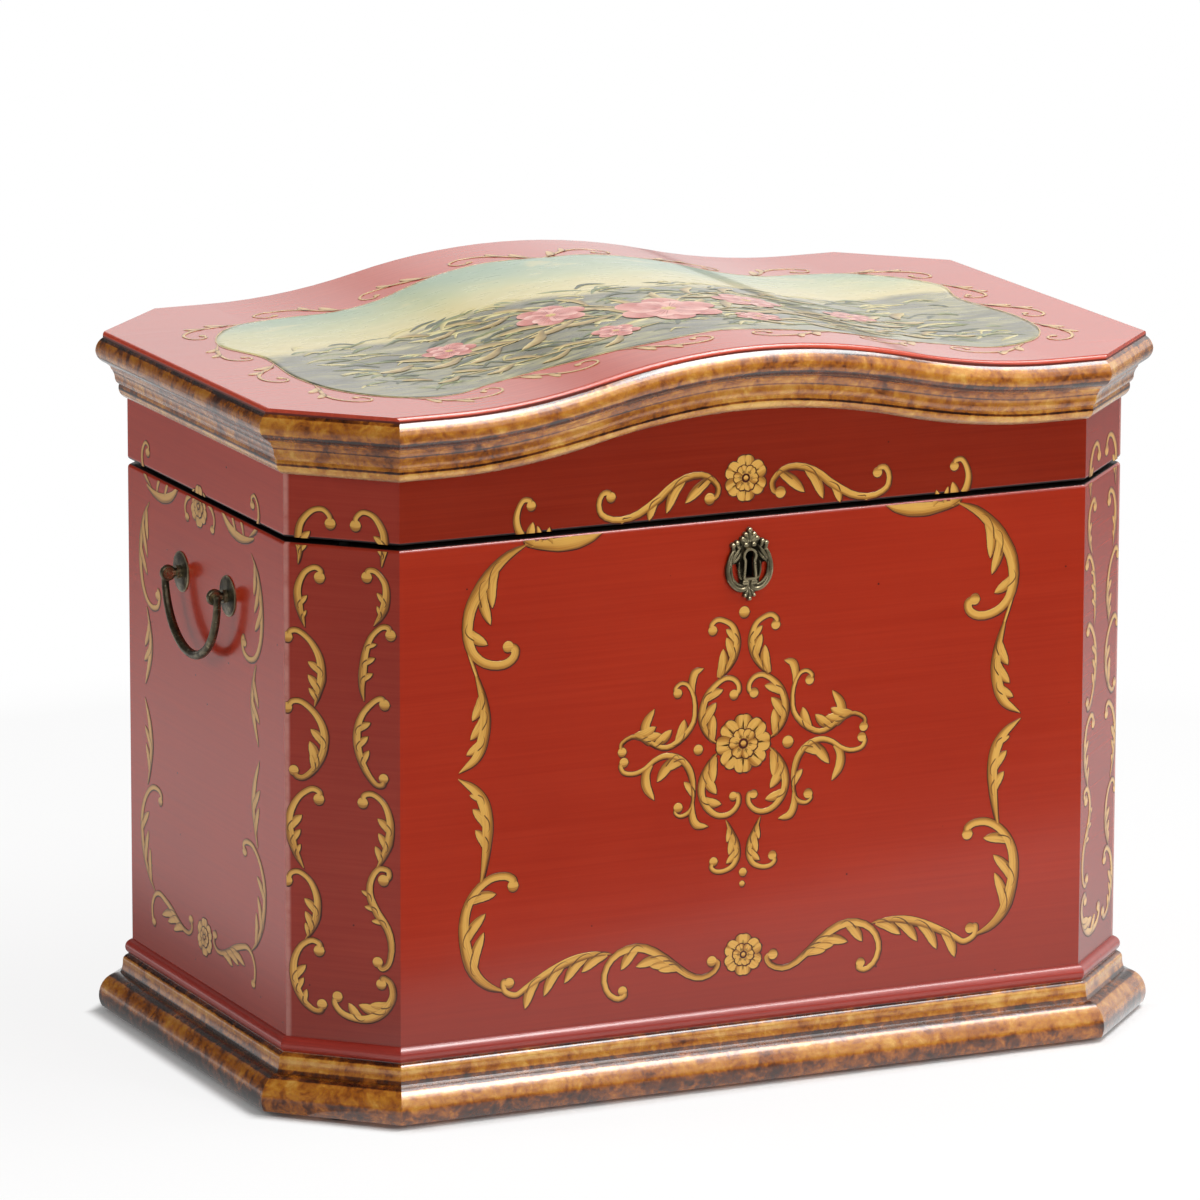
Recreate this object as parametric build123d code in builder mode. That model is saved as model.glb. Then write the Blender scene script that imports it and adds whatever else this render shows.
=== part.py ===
"""Lacquered wooden document chest with canted corners and a serpentine-topped hinged lid.

The case is an irregular octagon of eight mitred boards on a moulded plinth.  The lid has
eight mitred rails, a mitred moulding and a ruled top whose front and back rise in a crown.
Frame: millimetres, +Z up, the front faces -Y, origin on the floor below the chest's centre.
"""
import os
from math import asin, cos, radians, sin

from build123d import *

os.makedirs("parts", exist_ok=True)

# ---- driving dimensions: case and lid ----
body_w = 560.0  # across the left and right faces
body_d = 350.0  # across the front and back faces
corner_cut = 52.0  # how far each canted corner cuts into the front and the side
board_t = 10.0  # thickness of the case boards and lid rails
pad_t = 3.0  # felt pads under the plinth
pad_r = 10.0
wall_h = 345.6  # case boards, from the plinth's underside to the rim
seam_gap = 2.4  # between rim and lid, filled by the two hinge leaves
rail_h = 76.5  # lid rails away from the crown
seam_r = 2.5  # rounding of the outer edges at the seam
bottom_t = 8.0
bottom_lift = 6.0  # underside of the bottom board above the plinth's underside

# ---- lid top and its crown ----
top_t = 3.5  # visible edge of the top panel
top_over = 13.5  # overhang of the top panel beyond the rails
top_edge_r = 2.4
plug_t = 6.0  # part of the top that drops between the rails
crown_h = 24.5  # rise of the front and back at the middle
crown_half = 201.0  # half the width over which they rise

# ---- plinth moulding: offsets from the board's face and heights above the underside ----
plinth_foot = 18.0
plinth_out = 19.7
torus_z = 6.5
torus_top_z = 21.5
torus_top_out = 7.3
ogee_z = 33.4
ogee_out = 5.7
bead_out = 4.3
bead_top_z = 43.0
foot_bulge = 0.425  # how far the foot's rounding stands back from the torus at half height
torus_step_in = 0.6  # small fillet above the torus
torus_step_h = 1.5
ogee_hollow_out = 0.1
ogee_hollow_drop = 0.6
ogee_lip_h = 4.2  # rounded lip at the top of the ogee
ogee_lip_in = 1.0
ogee_lip_round = 1.4
bead_seat_in = 3.2
bead_seat_h = 0.6

# ---- lid moulding: offsets from the rail's face and depths below the top panel ----
nose_out = 17.8
nose_drop = 8.2
nose_h = 16.0
nose_foot = 12.0
step_out = 9.0
step_drop = 19.6
cove_out = 6.9
cove_drop = 25.5
neck_out = 4.6
neck_drop = 29.2
lid_bead_out = 4.7
moulding_h = 38.1
nose_round = 0.9
nose_under_in = 1.5
nose_under_h = 4.4
step_slope = 0.6
step_h = 2.0
cove_bulge = 0.5
cove_lip_in = 0.8
cove_lip_h = 2.2
lid_bead_lift = 0.6

# ---- bail handles on the left and right faces ----
post_half = 37.0  # each post from the handle's middle
handle_z = 294.8  # eye centres above the plinth's underside
rosette_r = 12.5
rosette_t = 1.8
rosette_rim = 0.6
rosette_dome = 0.3
collar_r = 4.0
collar_t = 2.2
neck_r = 2.5
shank_r = 2.0
shank_end = 1.0  # how far the shank passes its nut
eye_r = 5.0
eye_t = 4.0
eye_round = 1.4
eye_stand = 9.0  # eye centre off the face
peg_r = 2.1
bail_end_r = 2.2
bail_mid_r = 2.8
bail_straight = 1.0
nut_flats = 8.0
nut_t = 3.2

# ---- hinges on the back ----
hinge_inset = 78.0  # middle of each hinge from the end of the back
hinge_len = 60.0
knuckles = 5
leaf_t = 1.1
leaf_w = 9.0  # how much of the rim's width a leaf covers
knuckle_r = 3.2
hinge_pin_r = 1.5
heel_r = 6.4
heel_from = 50.0  # degrees from the horizontal to the heel's near face
heel_to = 66.0
heel_root = 0.8  # of the knuckle's radius, where the heel springs from
screw_pitch = 22.0
screw_row = 1.0  # screws behind the middle of the leaf's width

# ---- lock, strike and escutcheon on the front ----
key_z = 317.2  # keyhole centre above the plinth's underside
key_head_r = 3.3
key_half_h = 8.4
key_slot_w = 5.0
key_foot_w = 6.6
lock_w = 70.0
lock_h = 38.0
lock_depth = 11.0
lock_wall = 1.5
lock_ear = 9.0
staple_x = 18.0
staple_w = 6.0
staple_t = 2.4
staple_len = 14.0
window_w = 3.4
window_h = 5.4
bolt_t = 2.6
bolt_h = 6.0
bolt_travel = 6.0
bolt_drop = 18.6  # bolt bar's underside below the rim
finger_h = 4.4
bolt_neck = 4.0
stud_r = 1.5
stud_proud = 1.0  # how far the studs pass the bolt
stud_x = (-18.0, 2.0)
strike_leg = 15.0
strike_screw_h = 9.0
escutcheon_t = 1.6
escutcheon_rim = 1.4  # extra height of the keyhole's rim
key_rim_w = 1.3
crest_h = 22.5  # above the keyhole's centre
tail_h = 22.5  # below it
bow_half_w = 15.8
bow_h = 14.0
bow_drop = 3.6  # middle of the bow below the keyhole's centre
bow_band = 3.4
shoulder_x = 11.0
shoulder_z = 12.2
crest_beads = [(0, -1.7, 1.7), (2.8, -4.3, 1.6), (4.7, -6.9, 1.7), (8.4, -8.9, 1.6), (11.0, -10.3, 1.7)]
tail_beads = [(0, 1.4, 1.4), (2.9, 3.4, 1.3)]  # across, from the tip, radius
tail_half_w = 4.6
tail_root = 15.0
window_in_top = 8.4  # inner edge of each side window
window_in_foot = 6.0
window_top = 0.6
window_foot = -13.0

# ---- screws, pins and bumpers ----
screw_r = 1.4
screw_head_r = 2.6
screw_head_h = 1.0
screw_len = 8.0
screw_slot = 0.5
pin_r = 0.6
pin_head_r = 1.1
pin_head_h = 0.6
pin_dome_r = 0.77
pin_dome_h = 0.45
pin_len = 6.0
pin_inset = 7.0  # from the escutcheon's top and bottom
bumper_r = 3.5

# ---- clearances ----
fit = 0.05  # radial, round things in holes that do not turn
turning = 0.08  # radial, pins that turn
slack = 0.3  # between pieces that pass each other

# ---- heights in the chest's frame ----
case_z = pad_t
rim_z = case_z + wall_h
lid_z = rim_z + seam_gap
rail_top_z = lid_z + rail_h
hinge_z = rim_z + seam_gap / 2
key_centre_z = case_z + key_z
eye_z = case_z + handle_z

# ---- plan: the octagon of the outer faces, anticlockwise from the front's left end ----
long_half = body_w / 2 - corner_cut
short_half = body_d / 2 - corner_cut
corner_points = [
    (-long_half, -body_d / 2),
    (long_half, -body_d / 2),
    (body_w / 2, -short_half),
    (body_w / 2, short_half),
    (long_half, body_d / 2),
    (-long_half, body_d / 2),
    (-body_w / 2, short_half),
    (-body_w / 2, -short_half),
]
side_names = ["front", "front_right", "right", "back_right", "back", "back_left", "left", "front_left"]
cut_growth = 2 - 2**0.5  # how much a cut grows with each unit of offset


def save(builder, name):
    """Label a finished piece and write its file."""
    builder.part.label = name
    export_step(builder.part, f"parts/{name}.step")


def outline(offset):
    """Corners of the octagon with every face moved outwards by the offset."""
    cut = corner_cut + offset * cut_growth
    half_w = body_w / 2 + offset
    half_d = body_d / 2 + offset
    quarter = [(half_w - cut, -half_d), (half_w, -half_d + cut)]
    right = quarter + [(x, -y) for x, y in reversed(quarter)]
    return right + [(-x, y) for x, y in reversed(right)]


def side_frame(index):
    """Start, end, outward direction and mitre directions of one side."""
    points = [Vector(*corner_points[(index + step) % 8]) for step in (-1, 0, 1, 2)]
    normals = []
    for first, second in zip(points, points[1:]):
        along = (second - first).normalized()
        normals.append(Vector(along.Y, -along.X))
    mitres = []
    for first, second in zip(normals, normals[1:]):
        spread = first + second
        mitres.append(Vector(-spread.Y, spread.X))
    return points[1], points[2], normals[1], mitres[0], mitres[1]


def section_plane(index):
    """Plane across one side: x is the offset outwards from the face, y is the height."""
    start, end, outward, _, _ = side_frame(index)
    return Plane(origin=(start + end) / 2, x_dir=outward, z_dir=outward.cross(Vector(0, 0, 1)))


def mitred(index, section, reach):
    """Straight board or moulding along one side, mitred to its two neighbours."""
    start, end, _, start_mitre, end_mitre = side_frame(index)
    with BuildPart() as piece:
        with BuildSketch(section_plane(index)):
            add(section)
        extrude(amount=(end - start).length / 2 + reach, both=True)
        split(bisect_by=Plane(origin=start, z_dir=start_mitre), keep=Keep.TOP)
        split(bisect_by=Plane(origin=end, z_dir=end_mitre), keep=Keep.BOTTOM)
    return piece


def crown_line(z, reach):
    """The lid's front line at height z: flat, two tangent arcs up and down, flat."""
    half_rise = crown_h / 2
    half_run = crown_half / 2
    radius = (half_rise**2 + half_run**2) / crown_h
    turn = asin(half_run / radius)
    bend_x = crown_half - radius * sin(turn / 2)
    bend_z = z + radius * (1 - cos(turn / 2))
    Line((-reach, z), (-crown_half, z))
    ThreePointArc((-crown_half, z), (-bend_x, bend_z), (-half_run, z + half_rise))
    ThreePointArc((-half_run, z + half_rise), (0, z + crown_h), (half_run, z + half_rise))
    ThreePointArc((half_run, z + half_rise), (bend_x, bend_z), (crown_half, z))
    Line((crown_half, z), (reach, z))


def crowned_slab(z, thickness, reach):
    """Everything between the crown line at height z and the same line lower down."""
    with BuildPart() as slab:
        with BuildSketch(Plane.XZ):
            with BuildLine():
                crown_line(z, reach)
                Line((reach, z), (reach, z - thickness))
                crown_line(z - thickness, reach)
                Line((-reach, z - thickness), (-reach, z))
            make_face()
        extrude(amount=body_d, both=True)
    return slab.part


# ---- cross-sections of the boards, x outwards from the face and y up ----
with BuildSketch() as wall_section:
    with Locations((-board_t / 2, case_z + wall_h / 2)):
        Rectangle(board_t, wall_h)
    fillet(wall_section.vertices().group_by(Axis.Y)[-1].sort_by(Axis.X)[-1], seam_r)

with BuildSketch() as rail_section:
    with Locations((-board_t / 2, lid_z + rail_h / 2)):
        Rectangle(board_t, rail_h)
    fillet(rail_section.vertices().group_by(Axis.Y)[0].sort_by(Axis.X)[-1], seam_r)

with BuildSketch() as crowned_rail_section:
    with Locations((-board_t / 2, lid_z + (rail_h + crown_h) / 2)):
        Rectangle(board_t, rail_h + crown_h)
    fillet(crowned_rail_section.vertices().group_by(Axis.Y)[0].sort_by(Axis.X)[-1], seam_r)

# Plinth: plain foot, big torus, fillet, ogee, neck and a half-round bead.
bead_seat_out = ogee_out - bead_seat_in
torus_step_out = torus_top_out - torus_step_in
with BuildSketch() as plinth_section:
    with BuildLine():
        Line((0, 0), (plinth_foot, 0))
        ThreePointArc((plinth_foot, 0), (plinth_out - foot_bulge, torus_z / 2), (plinth_out, torus_z))
        EllipticalCenterArc(
            (torus_top_out, torus_z),
            plinth_out - torus_top_out,
            torus_top_z - torus_z,
            start_angle=0,
            arc_size=90,
        )
        Line((torus_top_out, torus_top_z), (torus_step_out, torus_top_z + torus_step_h))
        ThreePointArc(
            (torus_step_out, torus_top_z + torus_step_h),
            (ogee_out + ogee_hollow_out, (torus_top_z + ogee_z) / 2 - ogee_hollow_drop),
            (ogee_out, ogee_z - ogee_lip_h),
        )
        ThreePointArc(
            (ogee_out, ogee_z - ogee_lip_h),
            (ogee_out - ogee_lip_in, ogee_z - ogee_lip_round),
            (bead_seat_out, ogee_z),
        )
        Line((bead_seat_out, ogee_z), (bead_seat_out, ogee_z + bead_seat_h))
        ThreePointArc(
            (bead_seat_out, ogee_z + bead_seat_h),
            (bead_out, (ogee_z + bead_top_z) / 2),
            (0, bead_top_z),
        )
        Line((0, bead_top_z), (0, 0))
    make_face()

# Lid moulding: bullnose, two small steps, cove, neck and a half-round bead.
step_top_out = step_out + step_slope
with BuildSketch() as moulding_section:
    with BuildLine():
        Line((0, 0), (top_over, 0))
        ThreePointArc((top_over, 0), (nose_out - nose_round, -nose_drop / 2), (nose_out, -nose_drop))
        ThreePointArc(
            (nose_out, -nose_drop),
            (nose_out - nose_under_in, -nose_drop - nose_under_h),
            (nose_foot, -nose_h),
        )
        Line((nose_foot, -nose_h), (step_top_out, -nose_h - step_h))
        Line((step_top_out, -nose_h - step_h), (step_out, -step_drop))
        ThreePointArc(
            (step_out, -step_drop),
            (cove_out + cove_bulge, (-step_drop - cove_drop) / 2),
            (cove_out, -cove_drop),
        )
        ThreePointArc(
            (cove_out, -cove_drop),
            (cove_out - cove_lip_in, -cove_drop - cove_lip_h),
            (neck_out, -neck_drop),
        )
        ThreePointArc(
            (neck_out, -neck_drop),
            (lid_bead_out, (-neck_drop - moulding_h) / 2 + lid_bead_lift),
            (0, -moulding_h),
        )
        Line((0, -moulding_h), (0, 0))
    make_face()

# ---- keyhole outline, shared by the escutcheon, the front board and its rim ----
with BuildSketch() as keyhole:
    with Locations((0, key_half_h - key_head_r)):
        Circle(key_head_r)
    with BuildLine():
        Polyline(
            (-key_slot_w / 2, key_half_h - key_head_r),
            (key_slot_w / 2, key_half_h - key_head_r),
            (key_slot_w / 2, 0),
            (key_foot_w / 2, -key_half_h),
            (-key_foot_w / 2, -key_half_h),
            (-key_slot_w / 2, 0),
            close=True,
        )
    make_face()

front_face = Plane(origin=(0, -body_d / 2, key_centre_z), x_dir=(1, 0, 0), z_dir=(0, -1, 0))
front_inside_y = -body_d / 2 + board_t
pin_spots = [(0, crest_h - pin_inset), (0, -tail_h + pin_inset)]

# ---- fasteners: head up, its top at z = 0, shank downwards ----
with BuildPart() as wood_screw:
    with BuildSketch(Plane.XZ):
        with BuildLine():
            Polyline(
                (0, 0),
                (screw_head_r, 0),
                (screw_r, -screw_head_h),
                (screw_r, -screw_len + 2 * screw_r),
                (0, -screw_len),
                close=True,
            )
        make_face()
    revolve(axis=Axis.Z)
    Box(2 * screw_head_r, screw_slot, screw_slot, mode=Mode.SUBTRACT)

with BuildPart() as round_pin:
    with BuildSketch(Plane.XZ):
        with BuildLine():
            ThreePointArc((0, pin_head_h), (pin_dome_r, pin_dome_h), (pin_head_r, 0))
            Polyline((pin_head_r, 0), (pin_r, 0), (pin_r, -pin_len), (0, -pin_len), (0, pin_head_h))
        make_face()
    revolve(axis=Axis.Z)

# ---- places of the screws, each a plane whose z points out of the head ----
hinge_x = long_half - hinge_inset
hinge_screw_y = body_d / 2 - leaf_w / 2 - screw_row
hinge_screw_xs = [side * hinge_x + step * screw_pitch for side in (-1, 1) for step in (-1, 0, 1)]
lower_screw_planes = [
    Plane(origin=(x, hinge_screw_y, rim_z + leaf_t), z_dir=(0, 0, 1)) for x in hinge_screw_xs
]
upper_screw_planes = [
    Plane(origin=(x, hinge_screw_y, lid_z - leaf_t), z_dir=(0, 0, -1)) for x in hinge_screw_xs
]
ear_x = lock_w / 2 + lock_ear / 2
lock_screw_planes = [
    Plane(origin=(x, front_inside_y + lock_wall, rim_z - drop), x_dir=(1, 0, 0), z_dir=(0, 1, 0))
    for x in (-ear_x, ear_x)
    for drop in (lock_ear / 2, lock_h - lock_ear / 2)
]
strike_screw_planes = [
    Plane(
        origin=(x, front_inside_y + lock_wall, lid_z + strike_screw_h),
        x_dir=(1, 0, 0),
        z_dir=(0, 1, 0),
    )
    for x in (-staple_x, 0, staple_x)
]


def screws(planes):
    """One screw at each plane, as separate solids."""
    with BuildPart() as group:
        with Locations(*planes):
            add(wood_screw.part)
    return group


def screw_holes(planes):
    """Clearance for the screws' heads and shanks, to cut from what they hold."""
    with BuildPart() as holes:
        for plane in planes:
            with BuildSketch(plane.offset(-screw_len - screw_r)):
                Circle(screw_r + fit)
            extrude(amount=screw_len + screw_r)
            with BuildSketch(plane.offset(-screw_head_h - fit)):
                Circle(screw_r + fit)
            with BuildSketch(plane):
                Circle(screw_head_r + fit)
            loft()
    return holes.part


# ---- posts of the handles: planes on the side faces, z outwards ----
post_planes = {
    "left": [
        Plane(origin=(-body_w / 2, y, eye_z), x_dir=(0, 0, 1), z_dir=(-1, 0, 0))
        for y in (-post_half, post_half)
    ],
    "right": [
        Plane(origin=(body_w / 2, y, eye_z), x_dir=(0, 0, 1), z_dir=(1, 0, 0))
        for y in (-post_half, post_half)
    ],
}

# ---- case boards ----
for index, side in enumerate(side_names):
    wall = mitred(index, wall_section.sketch, board_t)
    with BuildPart() as board:
        add(wall.part)
        if side == "front":
            with BuildSketch(front_face):
                add(keyhole.sketch)
            extrude(amount=-board_t, mode=Mode.SUBTRACT)
            with BuildSketch(front_face):
                with Locations(*pin_spots):
                    Circle(pin_r + fit)
            extrude(amount=-pin_len, mode=Mode.SUBTRACT)
            add(screw_holes(lock_screw_planes), mode=Mode.SUBTRACT)
        if side == "back":
            add(screw_holes(lower_screw_planes), mode=Mode.SUBTRACT)
        for plane in post_planes.get(side, []):
            with BuildSketch(plane):
                Circle(shank_r + fit)
            extrude(amount=-board_t, mode=Mode.SUBTRACT)
    save(board, f"{side}_wall")

with BuildPart() as bottom_board:
    with BuildSketch(Plane.XY.offset(case_z + bottom_lift)):
        with BuildLine():
            Polyline(*outline(-board_t), close=True)
        make_face()
    extrude(amount=bottom_t)
save(bottom_board, "bottom_board")

# ---- plinth and the pads it stands on ----
with BuildSketch() as raised_plinth_section:
    with Locations((0, case_z)):
        add(plinth_section.sketch)

for index, side in enumerate(side_names):
    plinth = mitred(index, raised_plinth_section.sketch, plinth_out)
    save(plinth, f"{side}_plinth")

pad_x = body_w / 2 - corner_cut / 2
pad_y = body_d / 2 - corner_cut / 2
pad_spots = [(x, y) for x in (-pad_x, pad_x) for y in (-pad_y, pad_y)]
with BuildPart() as foot_pads:
    with BuildSketch():
        with Locations(*pad_spots):
            Circle(pad_r)
    extrude(amount=pad_t)
save(foot_pads, "foot_pads")

bumper_x = pad_x - board_t / 2 / 2**0.5
bumper_y = pad_y - board_t / 2 / 2**0.5
bumper_spots = [(x, y) for x in (-bumper_x, bumper_x) for y in (-bumper_y, bumper_y)]
with BuildPart() as rim_bumpers:
    with BuildSketch(Plane.XY.offset(rim_z)):
        with Locations(*bumper_spots):
            Circle(bumper_r)
    extrude(amount=seam_gap - slack)
save(rim_bumpers, "rim_bumpers")

# ---- lid rails ----
under_crown = crowned_slab(rail_top_z, rail_h + crown_h, body_w)
for index, side in enumerate(side_names):
    crowned = side in ("front", "back")
    section = crowned_rail_section if crowned else rail_section
    rail = mitred(index, section.sketch, board_t)
    with BuildPart() as lid_rail:
        add(rail.part)
        if crowned:
            add(under_crown, mode=Mode.INTERSECT)
        if side == "front":
            add(screw_holes(strike_screw_planes), mode=Mode.SUBTRACT)
        if side == "back":
            add(screw_holes(upper_screw_planes), mode=Mode.SUBTRACT)
    save(lid_rail, f"lid_{side}_rail")

# ---- lid moulding: straight on six sides, following the crown on the front and back ----
with BuildSketch() as raised_moulding_section:
    with Locations((0, rail_top_z)):
        add(moulding_section.sketch)

for index, side in enumerate(side_names):
    if side in ("front", "back"):
        start, end, outward, start_mitre, end_mitre = side_frame(index)
        reach = long_half + nose_out + board_t
        face_plane = Plane(origin=(0, start.Y, 0), x_dir=(1, 0, 0), z_dir=(0, -1, 0))
        with BuildPart() as moulding:
            with BuildLine(face_plane) as crown_path:
                crown_line(rail_top_z, reach)
            path_start = Vector(-reach, start.Y, rail_top_z)
            with BuildSketch(Plane(origin=path_start, x_dir=outward, z_dir=outward.cross(Vector(0, 0, 1)))):
                add(moulding_section.sketch)
            sweep(path=crown_path.line, normal=(1, 0, 0))
            split(bisect_by=Plane(origin=start, z_dir=start_mitre), keep=Keep.TOP)
            split(bisect_by=Plane(origin=end, z_dir=end_mitre), keep=Keep.BOTTOM)
    else:
        moulding = mitred(index, raised_moulding_section.sketch, nose_out)
    save(moulding, f"lid_{side}_moulding")

# ---- lid top: a ruled panel with a thicker middle that drops between the rails ----
with BuildPart() as lid_top:
    with BuildSketch(Plane.XY.offset(rail_top_z - plug_t)):
        with BuildLine():
            Polyline(*outline(top_over), close=True)
        make_face()
    extrude(amount=plug_t + top_t + crown_h)
    add(crowned_slab(rail_top_z + top_t, top_t, body_w), mode=Mode.INTERSECT)
    upper_edges = lid_top.faces().filter_by(lambda face: face.normal_at().Z > 0.5).edges()
    rim_edges = upper_edges.filter_by(lambda edge: not any(
        abs(point.X) < body_w / 2 and abs(point.Y) < body_d / 2 for point in [edge @ 0.5]
    ))
    fillet(rim_edges, top_edge_r)
with BuildPart() as lid_plug:
    with BuildSketch(Plane.XY.offset(rail_top_z - plug_t)):
        with BuildLine():
            Polyline(*outline(-board_t), close=True)
        make_face()
    extrude(amount=plug_t + crown_h)
    add(crowned_slab(rail_top_z, plug_t, body_w), mode=Mode.INTERSECT)
with BuildPart() as lid_panel:
    add(lid_top.part)
    add(lid_plug.part)
save(lid_panel, "lid_top")

# ---- bail handles ----
for side, outward in (("left", -1), ("right", 1)):
    face_x = outward * body_w / 2
    eye_x = face_x + outward * eye_stand
    with BuildPart() as rosettes:
        with BuildSketch(Plane.XZ) as rosette_profile:
            with BuildLine():
                Line((shank_r + fit, 0), (rosette_r, 0))
                Line((rosette_r, 0), (rosette_r, rosette_rim))
                ThreePointArc(
                    (rosette_r, rosette_rim),
                    ((rosette_r + collar_r) / 2, (rosette_rim + rosette_t) / 2 + rosette_dome),
                    (collar_r, rosette_t),
                )
                Line((collar_r, rosette_t), (shank_r + fit, rosette_t))
                Line((shank_r + fit, rosette_t), (shank_r + fit, 0))
            make_face()
        revolve(axis=Axis.Z)
    with BuildPart() as rosette_pair:
        with Locations(*post_planes[side]):
            add(rosettes.part)
    save(rosette_pair, f"{side}_rosettes")

    with BuildPart() as post_group:
        for plane in post_planes[side]:
            with BuildSketch(plane.offset(rosette_t)):
                Circle(collar_r)
            extrude(amount=collar_t)
            with BuildSketch(plane.offset(rosette_t)):
                Circle(neck_r)
            extrude(amount=eye_stand - rosette_t)
            with BuildSketch(plane.offset(-board_t - nut_t - shank_end)):
                Circle(shank_r)
            extrude(amount=board_t + nut_t + shank_end + rosette_t)
            eye_centre = plane.origin + plane.z_dir * eye_stand
            eye_plane = Plane(origin=eye_centre, x_dir=(1, 0, 0), z_dir=(0, 1, 0))
            with BuildSketch(eye_plane):
                Circle(eye_r)
            extrude(amount=eye_t / 2, both=True)
            rim = post_group.faces().filter_by(GeomType.PLANE).filter_by(Axis.Y)
            fillet(rim.sort_by_distance(eye_centre)[0:2].edges().filter_by(GeomType.CIRCLE), eye_round)
            with BuildSketch(eye_plane):
                Circle(peg_r + turning)
            extrude(amount=eye_t, both=True, mode=Mode.SUBTRACT)
    save(post_group, f"{side}_posts")

    arm_y = post_half + eye_t / 2 + slack + bail_end_r
    bend_z = eye_z - bail_straight
    with BuildPart() as bail:
        with BuildLine(Plane(origin=(eye_x, 0, 0), x_dir=(0, 1, 0), z_dir=(1, 0, 0))) as bow:
            ThreePointArc((-arm_y, bend_z), (0, bend_z - arm_y), (arm_y, bend_z))
        for share, radius in ((0, bail_end_r), (0.5, bail_mid_r), (1, bail_end_r)):
            with BuildSketch(Plane(origin=bow.line @ share, z_dir=bow.line % share)):
                Circle(radius)
        sweep(path=bow.line, multisection=True)
        for hand in (-1, 1):
            with BuildSketch(Plane.XY.offset(bend_z)):
                with Locations((eye_x, hand * arm_y)):
                    Circle(bail_end_r)
            extrude(amount=bail_straight)
            with Locations((eye_x, hand * arm_y, eye_z)):
                Sphere(bail_end_r)
            peg_plane = Plane(origin=(eye_x, hand * arm_y, eye_z), x_dir=(1, 0, 0), z_dir=(0, -hand, 0))
            with BuildSketch(peg_plane):
                Circle(peg_r)
            extrude(amount=bail_end_r + slack + eye_t + 2 * slack)
    save(bail, f"{side}_bail")

with BuildPart() as handle_nuts:
    for plane in post_planes["left"] + post_planes["right"]:
        with BuildSketch(plane.offset(-board_t - nut_t)):
            RegularPolygon(nut_flats / 2, 6, major_radius=False)
            Circle(shank_r + fit, mode=Mode.SUBTRACT)
        extrude(amount=nut_t)
save(handle_nuts, "handle_nuts")

# ---- butt hinges with stop heels ----
hinge_y = body_d / 2 + knuckle_r + slack
leaf_start_y = body_d / 2 - leaf_w
knuckle_len = hinge_len / knuckles


def hinge_leaf(middle_x, upper):
    """One leaf: plate in the seam, its share of the knuckles, and a heel that stops the lid."""
    low_x = middle_x - hinge_len / 2
    plate_z = lid_z - leaf_t if upper else rim_z
    sign = 1 if upper else -1
    own = [number for number in range(knuckles) if number % 2 == (1 if upper else 0)]
    other = [number for number in range(knuckles) if number not in own]
    screw_planes = upper_screw_planes if upper else lower_screw_planes
    heel_angles = (heel_from, heel_to)
    with BuildPart() as leaf:
        with BuildSketch(Plane.XY.offset(plate_z)):
            with Locations((middle_x, (leaf_start_y + hinge_y) / 2)):
                Rectangle(hinge_len, hinge_y - leaf_start_y)
        extrude(amount=leaf_t)
        for number in other:
            with BuildSketch(Plane.YZ.offset(low_x + number * knuckle_len - slack)):
                with Locations((hinge_y, hinge_z)):
                    Circle(knuckle_r + slack)
            extrude(amount=knuckle_len + 2 * slack, mode=Mode.SUBTRACT)
        for number in own:
            section = Plane.YZ.offset(low_x + number * knuckle_len + slack / 2)
            with BuildSketch(section):
                with Locations((hinge_y, hinge_z)):
                    Circle(knuckle_r)
                with BuildLine():
                    Polyline(*heel_points(heel_angles, sign, knuckle_r * heel_root), close=True)
                make_face()
            extrude(amount=knuckle_len - slack)
        with BuildSketch(Plane.YZ.offset(low_x)):
            with BuildLine():
                Polyline(*heel_points(heel_angles, sign, knuckle_r + slack), close=True)
            make_face()
        extrude(amount=hinge_len)
        with BuildSketch(Plane.YZ.offset(low_x)):
            with Locations((hinge_y, hinge_z)):
                Circle(hinge_pin_r + turning)
        extrude(amount=hinge_len, mode=Mode.SUBTRACT)
        add(screw_holes(screw_planes), mode=Mode.SUBTRACT)
    return leaf


def heel_points(angles, sign, inner_r):
    """Wedge with radial faces about the pin, between two angles above or below it."""
    points = []
    for radius, pair in ((inner_r, angles), (heel_r, angles[::-1])):
        for angle in pair:
            turn = radians(angle * sign)
            points.append((hinge_y + radius * cos(turn), hinge_z + radius * sin(turn)))
    return points


for side, middle_x in (("left", -hinge_x), ("right", hinge_x)):
    save(hinge_leaf(middle_x, upper=False), f"{side}_hinge_lower_leaf")
    save(hinge_leaf(middle_x, upper=True), f"{side}_hinge_upper_leaf")

with BuildPart() as hinge_pins:
    for middle_x in (-hinge_x, hinge_x):
        with BuildSketch(Plane.YZ.offset(middle_x - hinge_len / 2)):
            with Locations((hinge_y, hinge_z)):
                Circle(hinge_pin_r)
        extrude(amount=hinge_len)
save(hinge_pins, "hinge_pins")

save(screws(lower_screw_planes), "hinge_lower_screws")
save(screws(upper_screw_planes), "hinge_upper_screws")

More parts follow.
